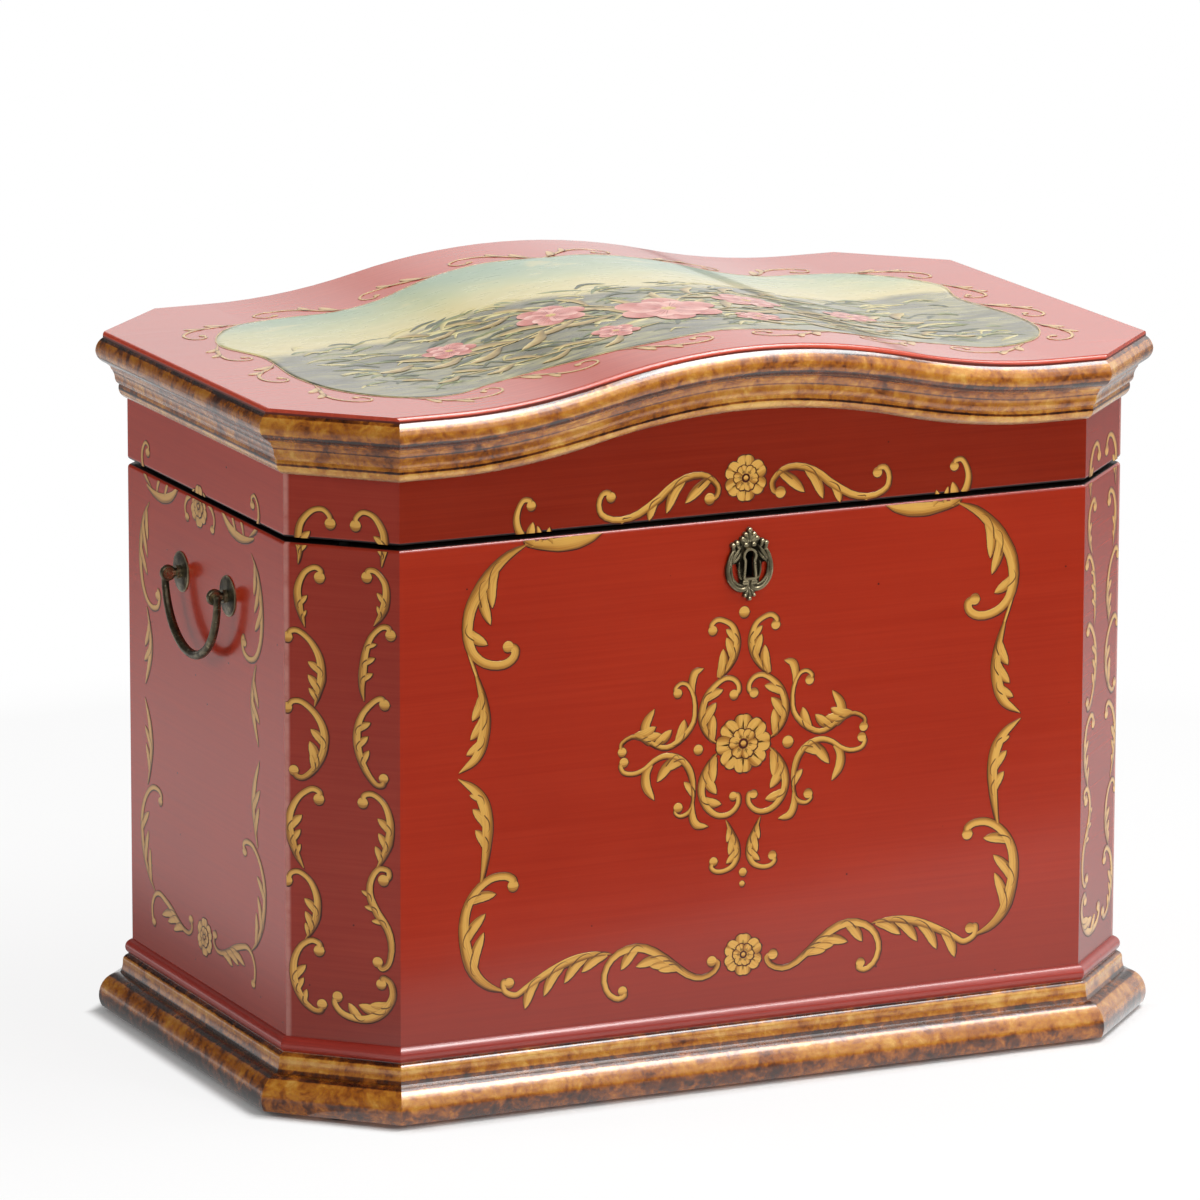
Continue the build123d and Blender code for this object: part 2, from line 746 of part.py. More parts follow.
# ---- lock: pan screwed inside the front board, its top flush with the rim ----
lock_back_y = front_inside_y + lock_depth
cavity_w = lock_w - 2 * lock_wall
cavity_depth = lock_depth - lock_wall
bolt_y = front_inside_y + cavity_depth / 2
bolt_z = rim_z - bolt_drop
pan_centre = (0, front_inside_y + lock_depth / 2, rim_z - lock_h / 2)
with BuildPart() as lock_case:
    with Locations(pan_centre):
        Box(lock_w, lock_depth, lock_h)
    with Locations((0, front_inside_y + cavity_depth / 2, rim_z - lock_h / 2)):
        Box(cavity_w, cavity_depth, lock_h - 2 * lock_wall, mode=Mode.SUBTRACT)
    for hand in (-1, 1):
        with Locations((hand * ear_x, front_inside_y + lock_wall / 2, rim_z - lock_h / 2)):
            Box(lock_ear, lock_wall, lock_h)
        with Locations((hand * staple_x, bolt_y, rim_z - lock_wall / 2)):
            Box(staple_t + 4 * slack, staple_w + 4 * slack, 2 * lock_wall, mode=Mode.SUBTRACT)
    for x in stud_x:
        with BuildSketch(Plane.XZ.offset(-lock_back_y + lock_wall)):
            with Locations((x, bolt_z + bolt_h / 2)):
                Circle(stud_r)
        extrude(amount=cavity_depth / 2 + bolt_t / 2 + stud_proud)
    add(screw_holes(lock_screw_planes), mode=Mode.SUBTRACT)
save(lock_case, "lock_case")
save(screws(lock_screw_planes), "lock_screws")

# Bolt: a bar on two studs, with two hooked fingers that pass through the staples.
window_z = lid_z - staple_len + (staple_w - window_w) / 2 + window_h / 2
finger_end = -staple_t / 2 - 2 * slack
finger_start = finger_end - bolt_travel + slack
with BuildPart() as lock_bolt:
    with BuildSketch(Plane.XZ.offset(-bolt_y - bolt_t / 2)):
        for hand in (-1, 1):
            with BuildLine():
                Polyline(
                    (hand * staple_x + finger_start - bolt_neck, bolt_z + bolt_h / 2),
                    (hand * staple_x + finger_start, bolt_z + bolt_h / 2),
                    (hand * staple_x + finger_start, window_z - finger_h / 2),
                    (hand * staple_x + finger_end, window_z - finger_h / 2),
                    (hand * staple_x + finger_end, window_z + finger_h / 2),
                    (hand * staple_x + finger_start - bolt_neck, window_z + finger_h / 2),
                    close=True,
                )
            make_face()
        bar_low = -staple_x + finger_start - bolt_neck
        bar_high = staple_x + finger_start
        with Locations(((bar_low + bar_high) / 2, bolt_z + bolt_h / 2)):
            Rectangle(bar_high - bar_low, bolt_h)
        for x in stud_x:
            with Locations((x - bolt_travel / 2, bolt_z + bolt_h / 2)):
                SlotCenterToCenter(bolt_travel, 2 * (stud_r + turning), mode=Mode.SUBTRACT)
    extrude(amount=bolt_t)
save(lock_bolt, "lock_bolt")

# Strike: angle plate inside the lid's front rail with two staples.
with BuildPart() as lock_strike:
    with Locations((0, front_inside_y + lock_wall / 2, lid_z + strike_leg / 2)):
        Box(lock_w, lock_wall, strike_leg)
    with Locations((0, front_inside_y + lock_depth / 2, lid_z + lock_wall / 2)):
        Box(lock_w, lock_depth, lock_wall)
    for hand in (-1, 1):
        with BuildSketch(Plane.YZ.offset(hand * staple_x - staple_t / 2)):
            with Locations((bolt_y, lid_z - staple_len / 2)):
                Rectangle(staple_w, staple_len)
            with Locations((bolt_y, window_z)):
                Rectangle(window_w, window_h, mode=Mode.SUBTRACT)
        extrude(amount=staple_t)
    add(screw_holes(strike_screw_planes), mode=Mode.SUBTRACT)
save(lock_strike, "lock_strike")
save(screws(strike_screw_planes), "strike_screws")

# ---- escutcheon: cast plate with a beaded crest, a bow round two side windows and a small tail ----
with BuildSketch() as side_windows:
    with Locations((0, -bow_drop)):
        Ellipse(bow_half_w - bow_band, bow_h - bow_band)
    with BuildLine():
        Polyline(
            (window_in_foot, window_foot),
            (window_in_top, window_top),
            (bow_half_w, window_top),
            (bow_half_w, window_foot),
            close=True,
        )
    make_face(mode=Mode.INTERSECT)
    mirror(about=Plane.YZ)

with BuildPart() as escutcheon:
    with BuildSketch(front_face):
        with Locations((0, -bow_drop)):
            Ellipse(bow_half_w, bow_h)
        with BuildLine():
            Polyline(
                (0, crest_h + crest_beads[0][1]),
                (crest_beads[2][0], crest_h + crest_beads[2][1]),
                (shoulder_x, shoulder_z),
                (bow_half_w, -bow_drop),
                (0, -bow_drop),
                close=True,
            )
        make_face()
        with BuildLine():
            Polyline(
                (0, -tail_root),
                (tail_half_w, -tail_root),
                (tail_beads[1][0], -tail_h + tail_beads[1][1]),
                (0, -tail_h + tail_beads[0][1]),
                close=True,
            )
        make_face()
        for x, z, radius in crest_beads:
            with Locations((x, crest_h + z)):
                Circle(radius)
        for x, z, radius in tail_beads:
            with Locations((x, -tail_h + z)):
                Circle(radius)
        mirror(about=Plane.YZ)
        add(side_windows.sketch, mode=Mode.SUBTRACT)
    extrude(amount=escutcheon_t)
    with BuildSketch(front_face):
        add(keyhole.sketch)
        offset(amount=key_rim_w)
    extrude(amount=escutcheon_t + escutcheon_rim)
    with BuildSketch(front_face):
        add(keyhole.sketch)
    extrude(amount=escutcheon_t + escutcheon_rim, mode=Mode.SUBTRACT)
    with BuildSketch(front_face):
        with Locations(*pin_spots):
            Circle(pin_r + fit)
    extrude(amount=escutcheon_t, mode=Mode.SUBTRACT)
save(escutcheon, "escutcheon")

pin_planes = [
    Plane(
        origin=(x, -body_d / 2 - escutcheon_t, key_centre_z + z),
        x_dir=(1, 0, 0),
        z_dir=(0, -1, 0),
    )
    for x, z in pin_spots
]
with BuildPart() as escutcheon_pins:
    with Locations(*pin_planes):
        add(round_pin.part)
save(escutcheon_pins, "escutcheon_pins")
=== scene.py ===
import math
from functools import partial, reduce

import bpy
import numpy as np
from mathutils import Matrix, Vector


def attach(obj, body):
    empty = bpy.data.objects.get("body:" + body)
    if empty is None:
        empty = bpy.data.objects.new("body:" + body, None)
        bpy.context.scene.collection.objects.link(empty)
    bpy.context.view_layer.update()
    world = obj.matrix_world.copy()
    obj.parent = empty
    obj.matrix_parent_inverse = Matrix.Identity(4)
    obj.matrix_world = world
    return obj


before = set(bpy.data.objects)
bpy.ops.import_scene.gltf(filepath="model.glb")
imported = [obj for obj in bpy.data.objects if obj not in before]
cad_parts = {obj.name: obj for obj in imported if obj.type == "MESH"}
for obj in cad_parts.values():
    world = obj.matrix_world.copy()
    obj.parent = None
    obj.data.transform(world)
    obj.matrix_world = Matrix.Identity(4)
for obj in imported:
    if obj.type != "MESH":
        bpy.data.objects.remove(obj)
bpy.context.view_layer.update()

# Shapes are in millimetres, with X across the front, Y towards the back and Z up from the floor. Shaders,
# lamps and the camera are in metres. The chest's own sizes are those of the frame.
MM = 0.001
WIDTH_HALF, DEPTH_HALF, CORNER_CUT = 280.0, 175.0, 52.0
CANT_X, CANT_Y = WIDTH_HALF - CORNER_CUT / 2, DEPTH_HALF - CORNER_CUT / 2
CANT_START = DEPTH_HALF - CORNER_CUT
MITRE_SLOPE = 1 + math.sqrt(2)  # how far a moulding's mitre at a cant runs out for each step past its start
LID_TOP, CROWN_RISE, CROWN_HALF = 431.0, 24.5, 201.0
BEAD_LOW = 36.6  # where the plinth's red bead begins
KEY_Z = 320.2  # height of the keyhole's middle
DIAGONAL = math.sqrt(0.5)

# Paint ends here: foot, each side of the seam, head, and across a cant.
PAINT_FOOT, SEAM_LOW, SEAM_HIGH, PAINT_HEAD = 50.0, 347.3, 351.5, 389.0
CANT_REACH = 35.9

# Cross-sections along a stroke, points along a curve that it is fitted to, and steps along a scroll's spine.
STEPS, FINE_STEPS, SPINE_STEPS = 30, 240, 60
BEND_CARE = 0.16  # how many more cross-sections a bend gets

# Heights of the films of paint over the board.
UMBER_RISE = 0.06
GOLD_LIFT, GOLD_RISE = 0.06, 0.12
LINE_LIFT = 0.24
LAYER = 0.006  # each stroke over the one before
BAND_OVER = 0.05  # a scroll's band over its lobes
FULL_WIDTH = 1.0  # half width from which a stroke has its full height

# ------------------------------------------------------------------ flat faces that carry paint


def flat_face(origin, across, up, out):
    """A painted face: its origin and three unit directions."""
    return [np.array(v, float) for v in (origin, across, up, out)]


CANT_SIDES = {"front_left": (-1, -1), "front_right": (1, -1), "back_left": (-1, 1), "back_right": (1, 1)}
FACES = {
    "front": flat_face((0, -DEPTH_HALF, 0), (1, 0, 0), (0, 0, 1), (0, -1, 0)),
    "left": flat_face((-WIDTH_HALF, 0, 0), (0, -1, 0), (0, 0, 1), (-1, 0, 0)),
    "right": flat_face((WIDTH_HALF, 0, 0), (0, 1, 0), (0, 0, 1), (1, 0, 0)),
    "top": flat_face((0, 0, LID_TOP), (1, 0, 0), (0, 1, 0), (0, 0, 1)),
}
for corner, (side_x, side_y) in CANT_SIDES.items():
    FACES[corner] = flat_face(
        (side_x * CANT_X, side_y * CANT_Y, 0),
        (-side_y * DIAGONAL, side_x * DIAGONAL, 0),
        (0, 0, 1),
        (side_x * DIAGONAL, side_y * DIAGONAL, 0),
    )


def crown_height(x):
    """Rise of the lid: two pairs of equal tangent arcs, flat beyond CROWN_HALF, highest at the middle."""
    reach = np.minimum(np.abs(x), CROWN_HALF)
    radius = (CROWN_HALF**2 / 4 + (CROWN_RISE / 2) ** 2) / CROWN_RISE
    near = CROWN_RISE - (radius - np.sqrt(radius**2 - np.minimum(reach, CROWN_HALF / 2) ** 2))
    far = radius - np.sqrt(radius**2 - np.minimum(CROWN_HALF - reach, CROWN_HALF / 2) ** 2)
    return np.where(reach < CROWN_HALF / 2, near, far)


# ------------------------------------------------------------------ brush strokes

# How a stroke's width swells and thins: places along it, and the share of its full half width at each.
ROUND = np.linspace(0, 1, 25)
PROFILES = {
    "scroll": ((0, 0.1, 0.28, 0.5, 0.72, 0.9, 1), (0.56, 0.55, 0.56, 0.75, 0.9, 0.5, 0.1)),
    "double": ((0, 0.1, 0.28, 0.5, 0.72, 0.9, 1), (0.56, 0.54, 0.62, 0.85, 0.7, 0.54, 0.56)),
    "frond": ((0, 0.12, 0.32, 0.58, 0.82, 1), (0.05, 0.6, 1, 0.95, 0.6, 0.25)),
    "leaf": ((0, 0.18, 0.42, 0.68, 0.88, 1), (0.25, 0.6, 0.95, 1, 0.6, 0.05)),
    "lobe": ((0, 0.2, 0.5, 0.72, 0.9, 1), (0.5, 0.84, 1, 0.84, 0.46, 0.04)),
    "thread": ((0, 0.08, 0.5, 0.92, 1), (0.3, 0.8, 1, 0.8, 0.3)),
    "crease": ((0, 0.15, 0.5, 0.85, 1), (0.7, 1, 0.8, 0.4, 0.1)),
    "petal": (
        (0, 0.24, 0.46, 0.62, 0.78, 0.89, 0.957, 0.989, 1),
        (0.3, 0.62, 0.9, 1, 0.9, 0.7, 0.46, 0.24, 0.03),
    ),
    "dot": (ROUND, np.sqrt(np.maximum(0.0004, 1 - (2 * ROUND - 1) ** 2))),
}


def smooth_line(points, count):
    """A Catmull-Rom curve through the points, laid out again at even steps along its length."""
    points = np.array(points, float)
    if len(points) == 2:
        return points[0] + np.linspace(0, 1, count)[:, None] * (points[1] - points[0])
    ends = 2 * points[0] - points[1], 2 * points[-1] - points[-2]
    held = np.vstack([ends[0], points, ends[1]])
    share = np.linspace(0, 1, 16, endpoint=False)[None, :, None]
    a, b, c, d = (held[i:len(held) - 3 + i, None, :] for i in range(4))
    bend = (2 * a - 5 * b + 4 * c - d) * share**2 + (3 * b - a - 3 * c + d) * share**3
    curve = 0.5 * (2 * b + (c - a) * share + bend)
    curve = np.vstack([curve.reshape(-1, points.shape[1]), points[-1]])
    length = np.concatenate([[0], np.cumsum(np.linalg.norm(np.diff(curve, axis=0), axis=1))])
    even = np.linspace(0, length[-1], count)
    return np.stack([np.interp(even, length, column) for column in curve.T], axis=1)


def centre_line(points):
    """A stroke's centre line, its steps closer together where it bends, and the share of its length at
    each."""
    fine = smooth_line(points, FINE_STEPS)
    way = np.diff(fine, axis=0)
    heading = np.unwrap(np.arctan2(way[:, 1], way[:, 0]))
    turning = np.concatenate([[0], np.abs(np.diff(heading)), [0]])
    share = np.linspace(0, 1, FINE_STEPS)
    care = share + BEND_CARE * np.cumsum(turning)
    at = np.interp(np.linspace(0, care[-1], STEPS), care, share)
    return np.stack([np.interp(at, share, column) for column in fine.T], axis=1), at


def stroke(points, half_width, kind, lift=GOLD_LIFT, rise=GOLD_RISE, shade=(0.0, 0.0), tone="gold"):
    """One stroke of the brush: centre line, half widths along it, height, and shade at its two ends."""
    line, share = centre_line(points)
    return {
        "line": line,
        "half": half_width * np.interp(share, *PROFILES[kind]),
        "lift": lift,
        "rise": rise,
        "shade": shade[0] + (shade[1] - shade[0]) * share,
        "tone": tone,
    }


def dot(u, v, radius, **settings):
    """A round touch of paint."""
    return stroke([(u - radius, v), (u + radius, v)], radius, "dot", **settings)


# The least lean of a lobe along its spine, as a cosine, on the faces and on the cants.
LOBE_LEAN, CANT_LEAN = 0.81, 0.64
LOBE_WIDTH, LOBE_NARROWEST, LOBE_WIDEST = 0.215, 1.2, 3.2  # half width: share of the reach, and its limits
ROOT_SHARE, ROOT_SLACK = 1.1, 9.0  # how far past the tip's nearest step a root may lie, by its distance
BEND_ALONG, BEND_HUG = 0.52, 0.1  # where a lobe bends: share of the way to its tip, and in to the spine
# Points of the parting line: shares of the way to the tip, and of the reach and the half width in to the
# spine.
PARTING_RUN = ((0.66, 0.07, 0.95), (0.34, 0.08, 0.85), (0.0, 0.0, 0.4))
PARTING_WIDTH = 0.45
BALL_GROWTH = 1.15


def lobe(spine, tip, layer, least_lean):
    """A leaf lobe that leaves the spine at a slant, hugs it and bends out to its tip, and the brown line
    that parts it from the spine. The spine runs from ball to tail, and each layer lies over the one before.
    The root is the first step past the tip's nearest one where the lean suffices, and not much further off
    than the tip is."""
    tip = np.array(tip, float)
    toward = spine[:-1] - spine[1:]
    toward /= np.linalg.norm(toward, axis=1, keepdims=True)
    gap = tip - spine[1:]
    distance = np.linalg.norm(gap, axis=1)
    lean = np.sum(toward * gap, axis=1) / distance
    near = int(np.argmin(distance))
    step = np.linalg.norm(spine[1] - spine[0])
    furthest = min(len(distance) - 1, near + int((ROOT_SHARE * distance[near] + ROOT_SLACK) / step))
    slanted = np.flatnonzero(lean[near:furthest] > least_lean)
    root = near + int(slanted[0]) if len(slanted) else furthest
    start, way, reach = spine[root + 1], toward[root], distance[root]
    out = gap[root] - np.dot(gap[root], way) * way
    out /= max(np.linalg.norm(out), 1e-6)
    half_width = float(np.clip(LOBE_WIDTH * reach, LOBE_NARROWEST, LOBE_WIDEST))
    middle = start + BEND_ALONG * gap[root] - BEND_HUG * reach * out
    leaf = stroke([start, middle, tip], half_width, "lobe", GOLD_LIFT + LAYER * layer, shade=(0.8, 0.0))
    parting = [start + a * gap[root] - (b * reach + c * half_width) * out for a, b, c in PARTING_RUN]
    parting.append(spine[min(len(spine) - 1, root + 3)])
    return [leaf, stroke(parting, PARTING_WIDTH, "crease", LINE_LIFT, UMBER_RISE, tone="glaze")]


def scroll(ball_radius, half_width, points, tips=(), end_ball=0.0, kind=None, least_lean=LOBE_LEAN):
    """A scroll: lobes at the given tips, and over their roots a hooked band that swells and tapers from its
    ball."""
    over = GOLD_LIFT + BAND_OVER
    kind = kind or ("double" if end_ball else "scroll")
    made = [stroke(points, half_width, kind, lift=over, shade=(0.0, 0.85))]
    for radius, end in ((ball_radius, 0), (end_ball, -1)):
        if radius:
            made.append(dot(*points[end], BALL_GROWTH * radius, lift=over + LAYER))
    spine = smooth_line(points, SPINE_STEPS)
    for layer, tip in enumerate(tips):
        made += lobe(spine, tip, layer, least_lean)
    return made


def ray(centre, angle, start, end):
    """A straight run outwards from a centre, between two distances from it."""
    way = np.array([math.cos(angle), math.sin(angle)])
    return [centre + start * way, centre + end * way]


PETAL_EDGE = 0.35  # how far the brown edge shows round a petal
INNER_PETALS, FIRST_PETAL, INNER_TURN = 6, math.pi / 2, 0.4
EYE_SHARE, SEED_SHARE = 0.34, 0.19
PETAL_ROOT, TOUCH_SWING = 0.08, 0.3
PETAL_CROWDING, PETAL_WIDTH = 1.16, 0.86
# A petal's creases: swing from its middle, and from where to where they run, as shares of its own spread
# and reach.
PETAL_CREASES = ((-0.34, 0.42, 0.6), (0.0, 0.4, 0.72), (0.34, 0.42, 0.6))


def petal_ring(centre, radius, count, turn, lift):
    """Petals set in a ring, each a pair of round touches with a brown edge, laid over the last, and fine
    lines at its root."""
    made = []
    spread = math.pi / count
    crowding = PETAL_CROWDING * math.sin(spread)
    half_width = PETAL_WIDTH * radius * crowding / (1 + crowding)
    for number in range(count):
        angle = turn + number * 2 * spread
        over = lift + 2 * LAYER * number
        for swing in (-TOUCH_SWING, TOUCH_SWING):
            run = ray(centre, angle + swing * spread, PETAL_ROOT * radius, radius)
            rim = ray(centre, angle + swing * spread, PETAL_ROOT * radius, radius + PETAL_EDGE)
            made.append(stroke(rim, half_width + PETAL_EDGE, "petal", over - LAYER, tone="umber"))
            made.append(stroke(run, half_width, "petal", over, shade=(1.0, -0.1)))
        for swing, start, end in PETAL_CREASES:
            line = ray(centre, angle + swing * spread, start * radius, end * radius)
            above = over + GOLD_RISE + LAYER
            made.append(stroke(line, 0.14 + 0.008 * radius, "crease", above, UMBER_RISE, tone="glaze"))
    return made


def flower(u, v, outer, inner, petals):
    """A rosette: an outer and an inner ring of petals, and a dark eye with a gold seed."""
    centre = np.array([u, v], float)
    base = GOLD_LIFT + GOLD_RISE + 2 * LAYER * (petals + 1)
    top = base + GOLD_RISE + 2 * LAYER * (INNER_PETALS + 1)
    made = petal_ring(centre, outer, petals, FIRST_PETAL, GOLD_LIFT)
    made += petal_ring(centre, inner, INNER_PETALS, FIRST_PETAL + INNER_TURN, base)
    made.append(dot(u, v, EYE_SHARE * inner, lift=top, rise=UMBER_RISE, tone="umber"))
    made.append(dot(u, v, SEED_SHARE * inner, lift=top + UMBER_RISE, rise=UMBER_RISE))
    return made


def turned_over(strokes, axis=0):
    """The same strokes on the other side of an upright line."""
    return [dict(s, line=s["line"] * (-1, 1) + (2 * axis, 0)) for s in strokes]


def mirrored(strokes, axis):
    """The strokes and the same on the other side of an upright line."""
    return strokes + turned_over(strokes, axis)


CUT_MARGIN = 0.4  # how far past a cut a stroke's steps are kept, before the mesh is cut straight there


def kept_between(strokes, low, high):
    """Only the part of each stroke between two heights, with its steps laid out again."""
    kept = []
    for s in strokes:
        inside = (s["line"][:, 1] > low - CUT_MARGIN) & (s["line"][:, 1] < high + CUT_MARGIN)
        if inside.sum() < 3:
            continue
        first, last = np.flatnonzero(inside)[[0, -1]]
        share = np.linspace(max(first - 1, 0), min(last + 1, STEPS - 1), STEPS)
        old = np.arange(STEPS)
        kept.append(dict(
            s,
            line=np.stack([np.interp(share, old, s["line"][:, i]) for i in (0, 1)], axis=1),
            half=np.interp(share, old, s["half"]),
            shade=np.interp(share, old, s["shade"]),
        ))
    return kept


OUTLINE_MARGIN, OUTLINE_DROP = 0.6, 0.25


def outlined(strokes):
    """The dark ground painted first: each stroke a little wider and longer, set slightly down and to the
    right."""
    grown = []
    for s in strokes:
        line = s["line"].copy()
        for end, inner in ((0, 1), (-1, -2)):
            way = line[end] - line[inner]
            line[end] += way / max(np.linalg.norm(way), 1e-6) * OUTLINE_MARGIN
        line += (OUTLINE_DROP, -OUTLINE_DROP)
        width = s["half"] + OUTLINE_MARGIN
        width[[0, -1]] = s["half"][[0, -1]] * 0.5 + 0.1
        grown.append(dict(s, line=line, half=width, rise=UMBER_RISE, lift=s["lift"] - GOLD_LIFT))
    return grown


# ------------------------------------------------------------------ meshes

# Cross-sections, as shares of a stroke's half width and height: a flat film with rolled edges, and a half
# round.
FLAT_FOOT = [(-1, 0), (-0.5, 0), (0.5, 0)]
FILM_RING = np.array([(1, 0), (0.94, 0.85), (0.4, 1), (-0.4, 1), (-0.94, 0.85), *FLAT_FOOT]).T
CAST_RING = np.array([(1, 0), (0.81, 0.62), (0.31, 0.96), (-0.31, 0.96), (-0.81, 0.62), *FLAT_FOOT]).T


def build_mesh(name, vertices, faces, uv=None, smooth=True):
    """A mesh object from its corner points, its faces and each point's place on the map."""
    mesh = bpy.data.meshes.new(name)
    mesh.from_pydata((vertices * MM).tolist(), [], faces)
    if uv is not None:
        corner = np.zeros(len(mesh.loops), np.int32)
        mesh.loops.foreach_get("vertex_index", corner)
        mesh.uv_layers.new(name="UVMap").data.foreach_set("uv", uv[corner].astype(np.float32).ravel())
    mesh.polygons.foreach_set("use_smooth", np.full(len(mesh.polygons), smooth))
    mesh.update()
    piece = bpy.data.objects.new(name, mesh)
    bpy.context.scene.collection.objects.link(piece)
    return piece


def grid_faces(rows, columns):
    """Quads of a grid of rows by columns, whose last column joins the first."""
    row, column = np.meshgrid(np.arange(rows - 1), np.arange(columns), indexing="ij")
    after = (column + 1) % columns
    corners = [(row, column), (row, after), (row + 1, after), (row + 1, column)]
    return np.stack([r * columns + c for r, c in corners], axis=-1).reshape(-1, 4)


def laid_strokes(strokes, face, low, high, section):
    """Corner points, faces and map of many strokes. Each is a closed section, flat below and raised above,
    carried along its centre line: point = line + side x half width x ring across + out x (lift + rise x
    ring up). Strokes are cut straight at low and high, and at the edges of a cant, and bend with the crown
    on the lid."""
    ring_across, ring_up = section
    line, half, shade = (np.stack([s[key] for s in strokes]) for key in ("line", "half", "shade"))
    lift, rise = (np.array([s[key] for s in strokes]) for key in ("lift", "rise"))
    way = np.gradient(line, axis=1)
    way /= np.maximum(np.linalg.norm(way, axis=2, keepdims=True), 1e-6)
    side = np.stack([-way[..., 1], way[..., 0]], axis=-1)
    turn = np.sign(np.sum(np.cross(way[:, :-1], way[:, 1:]), axis=1))
    turn[turn == 0] = 1
    flat = line[:, :, None] + side[:, :, None] * (half[..., None] * ring_across)[..., None]
    origin, across, up, out = face
    on_cant, on_lid = abs(out[0] * out[1]) > 0.1, out[2] > 0.5
    if low is not None:
        flat[..., 1] = np.clip(flat[..., 1], low, high)
    if on_cant:
        flat[..., 0] = np.clip(flat[..., 0], -CANT_REACH, CANT_REACH)
    height = lift[:, None, None] + (rise[:, None] * np.minimum(half / FULL_WIDTH, 1))[..., None] * ring_up
    points = origin + flat[..., :1] * across + flat[..., 1:] * up + height[..., None] * out
    if on_lid:
        points[..., 2] += crown_height(points[..., 0])
    count, rows, ring = points.shape[:3]
    first = (np.arange(count) * rows * ring)[:, None, None]
    faces = (grid_faces(rows, ring)[:, ::-1][None] + first).reshape(-1, 4).tolist()
    cap = np.arange(ring)
    faces += (cap[None] + first[:, :, 0]).tolist()
    faces += ((rows - 1) * ring + cap[::-1][None] + first[:, :, 0]).tolist()
    outer = 0.5 - 0.5 * turn[:, None, None] * ring_across * np.ones((1, rows, 1))
    uv = np.stack([outer, shade[..., None] * np.ones(ring)], axis=-1)
    return points.reshape(-1, 3), faces, uv.reshape(-1, 2)


def paint(name, strokes, face, material, body, low=None, high=None, cast=False):
    """One painted piece, or a cast one: its strokes as one mesh, with its finish, riding on its body."""
    section = CAST_RING if cast else FILM_RING
    piece = build_mesh(name, *laid_strokes(strokes, FACES[face], low, high, section), smooth=cast)
    piece.data.materials.append(material)
    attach(piece, body)
    return piece


# ------------------------------------------------------------------ materials


def linear(code):
    """An sRGB hex colour as linear values."""
    parts = np.array([int(code[i:i + 2], 16) for i in (1, 3, 5)]) / 255
    return (*np.where(parts <= 0.04045, parts / 12.92, ((parts + 0.055) / 1.055) ** 2.4), 1.0)


def every(size):
    """The scale of a pattern whose marks lie about so many millimetres apart."""
    return 1 / (size * MM)


def feed(node, inputs):
    """Sets a node's inputs, by name or number: an output is linked, a hex colour or a plain value is set."""
    for key, value in inputs.items():
        if isinstance(value, bpy.types.NodeSocket):
            node.id_data.links.new(value, node.inputs[key])
        else:
            node.inputs[key].default_value = linear(value) if isinstance(value, str) else value


def add_node(tree, kind, *values, ramp=(), out=0, **settings):
    """Adds one node and gives one of its outputs, or all of them for None. Its inputs are values in the
    node's own order, or one dictionary. A kind in capitals is an operation: of the Math node, or Map
    Range's smooth step."""
    if kind == "SMOOTHSTEP":
        kind, settings = "MapRange", {"interpolation_type": kind}
    elif kind.isupper():
        kind, settings = "Math", {"operation": kind}
    node = tree.nodes.new("ShaderNode" + kind)
    for key, value in settings.items():
        setattr(node, key, value)
    feed(node, values[0] if values and isinstance(values[0], dict) else dict(enumerate(values)))
    if ramp:
        marks = node.color_ramp.elements
        for place, _ in ramp[2:]:
            marks.new(place)
        for mark, (place, colour) in zip(marks, ramp):
            mark.position, mark.color = place, linear(colour)
    return node.outputs if out is None else node.outputs[out]


# A Mix node for colours: input 0 is the share, 6 and 7 are the colours, output 2 is the result.
COLOURS = {"data_type": "RGBA", "out": 2}


def new_material(name):
    """An empty material, its shader, and the function that adds a node to it."""
    material = bpy.data.materials.new(name)
    material.use_nodes = True
    return material, material.node_tree.nodes["Principled BSDF"], partial(add_node, material.node_tree)


def place_on(add, size=(1000, 1000, 1000)):
    """A point's place in metres, its place counted in steps of the given sizes, and its three
    coordinates."""
    place = add("TexCoord", out="Object")
    steps = add("Mapping", {"Vector": place, "Scale": [every(part) for part in size]})
    return place, steps, add("SeparateXYZ", place, out=None)


def all_of(add, *shares):
    """How far all of several shares hold: their product."""
    return reduce(partial(add, "MULTIPLY"), shares)


def blended(add, *parts):
    """Several patterns added up, each by its weight."""
    return reduce(partial(add, "ADD"), [add("MULTIPLY", pattern, weight) for pattern, weight in parts])


def within(add, value, band):
    """How far a value lies in a band, given by four edges in millimetres: it grows from 0 at the first to 1
    at the second, and falls again from the third to the last."""
    begin, full, still_full, end = (edge * MM for edge in band)
    return all_of(add, add("SMOOTHSTEP", value, begin, full), add("SMOOTHSTEP", value, end, still_full))


def below_crown(add, x, z):
    """A point's height less the lid's rise there, which is the same all along a moulding."""
    reach = add("MINIMUM", add("DIVIDE", add("ABSOLUTE", x), CROWN_HALF * MM), 1.0)
    wave = add("COSINE", add("MULTIPLY", reach, math.pi))
    return add("SUBTRACT", z, add("MULTIPLY_ADD", wave, CROWN_RISE / 2 * MM, CROWN_RISE / 2 * MM))


def brushed_red(add, grain, deep, bright):
    """Red lacquer's colour: fine brush drag along the grain, soft clouding and rare dark specks."""
    place, strands, coordinates = place_on(add, grain)
    drag = add("TexNoise", {"Vector": strands, "Scale": 1.0, "Detail": 5.0, "Roughness": 0.6})
    cloud = add("TexNoise", {"Vector": place, "Scale": every(143), "Detail": 3.0})
    red = add("ValToRGB", blended(add, (drag, 0.6), (cloud, 0.4)), ramp=[(0.34, deep), (0.66, bright)])
    speck = add("SMOOTHSTEP", add("TexVoronoi", {"Vector": place, "Scale": every(23.81)}), 0.035, 0.02)
    return place, coordinates, drag, add("Mix", {0: speck, 6: red, 7: "#4A140C"}, **COLOURS)


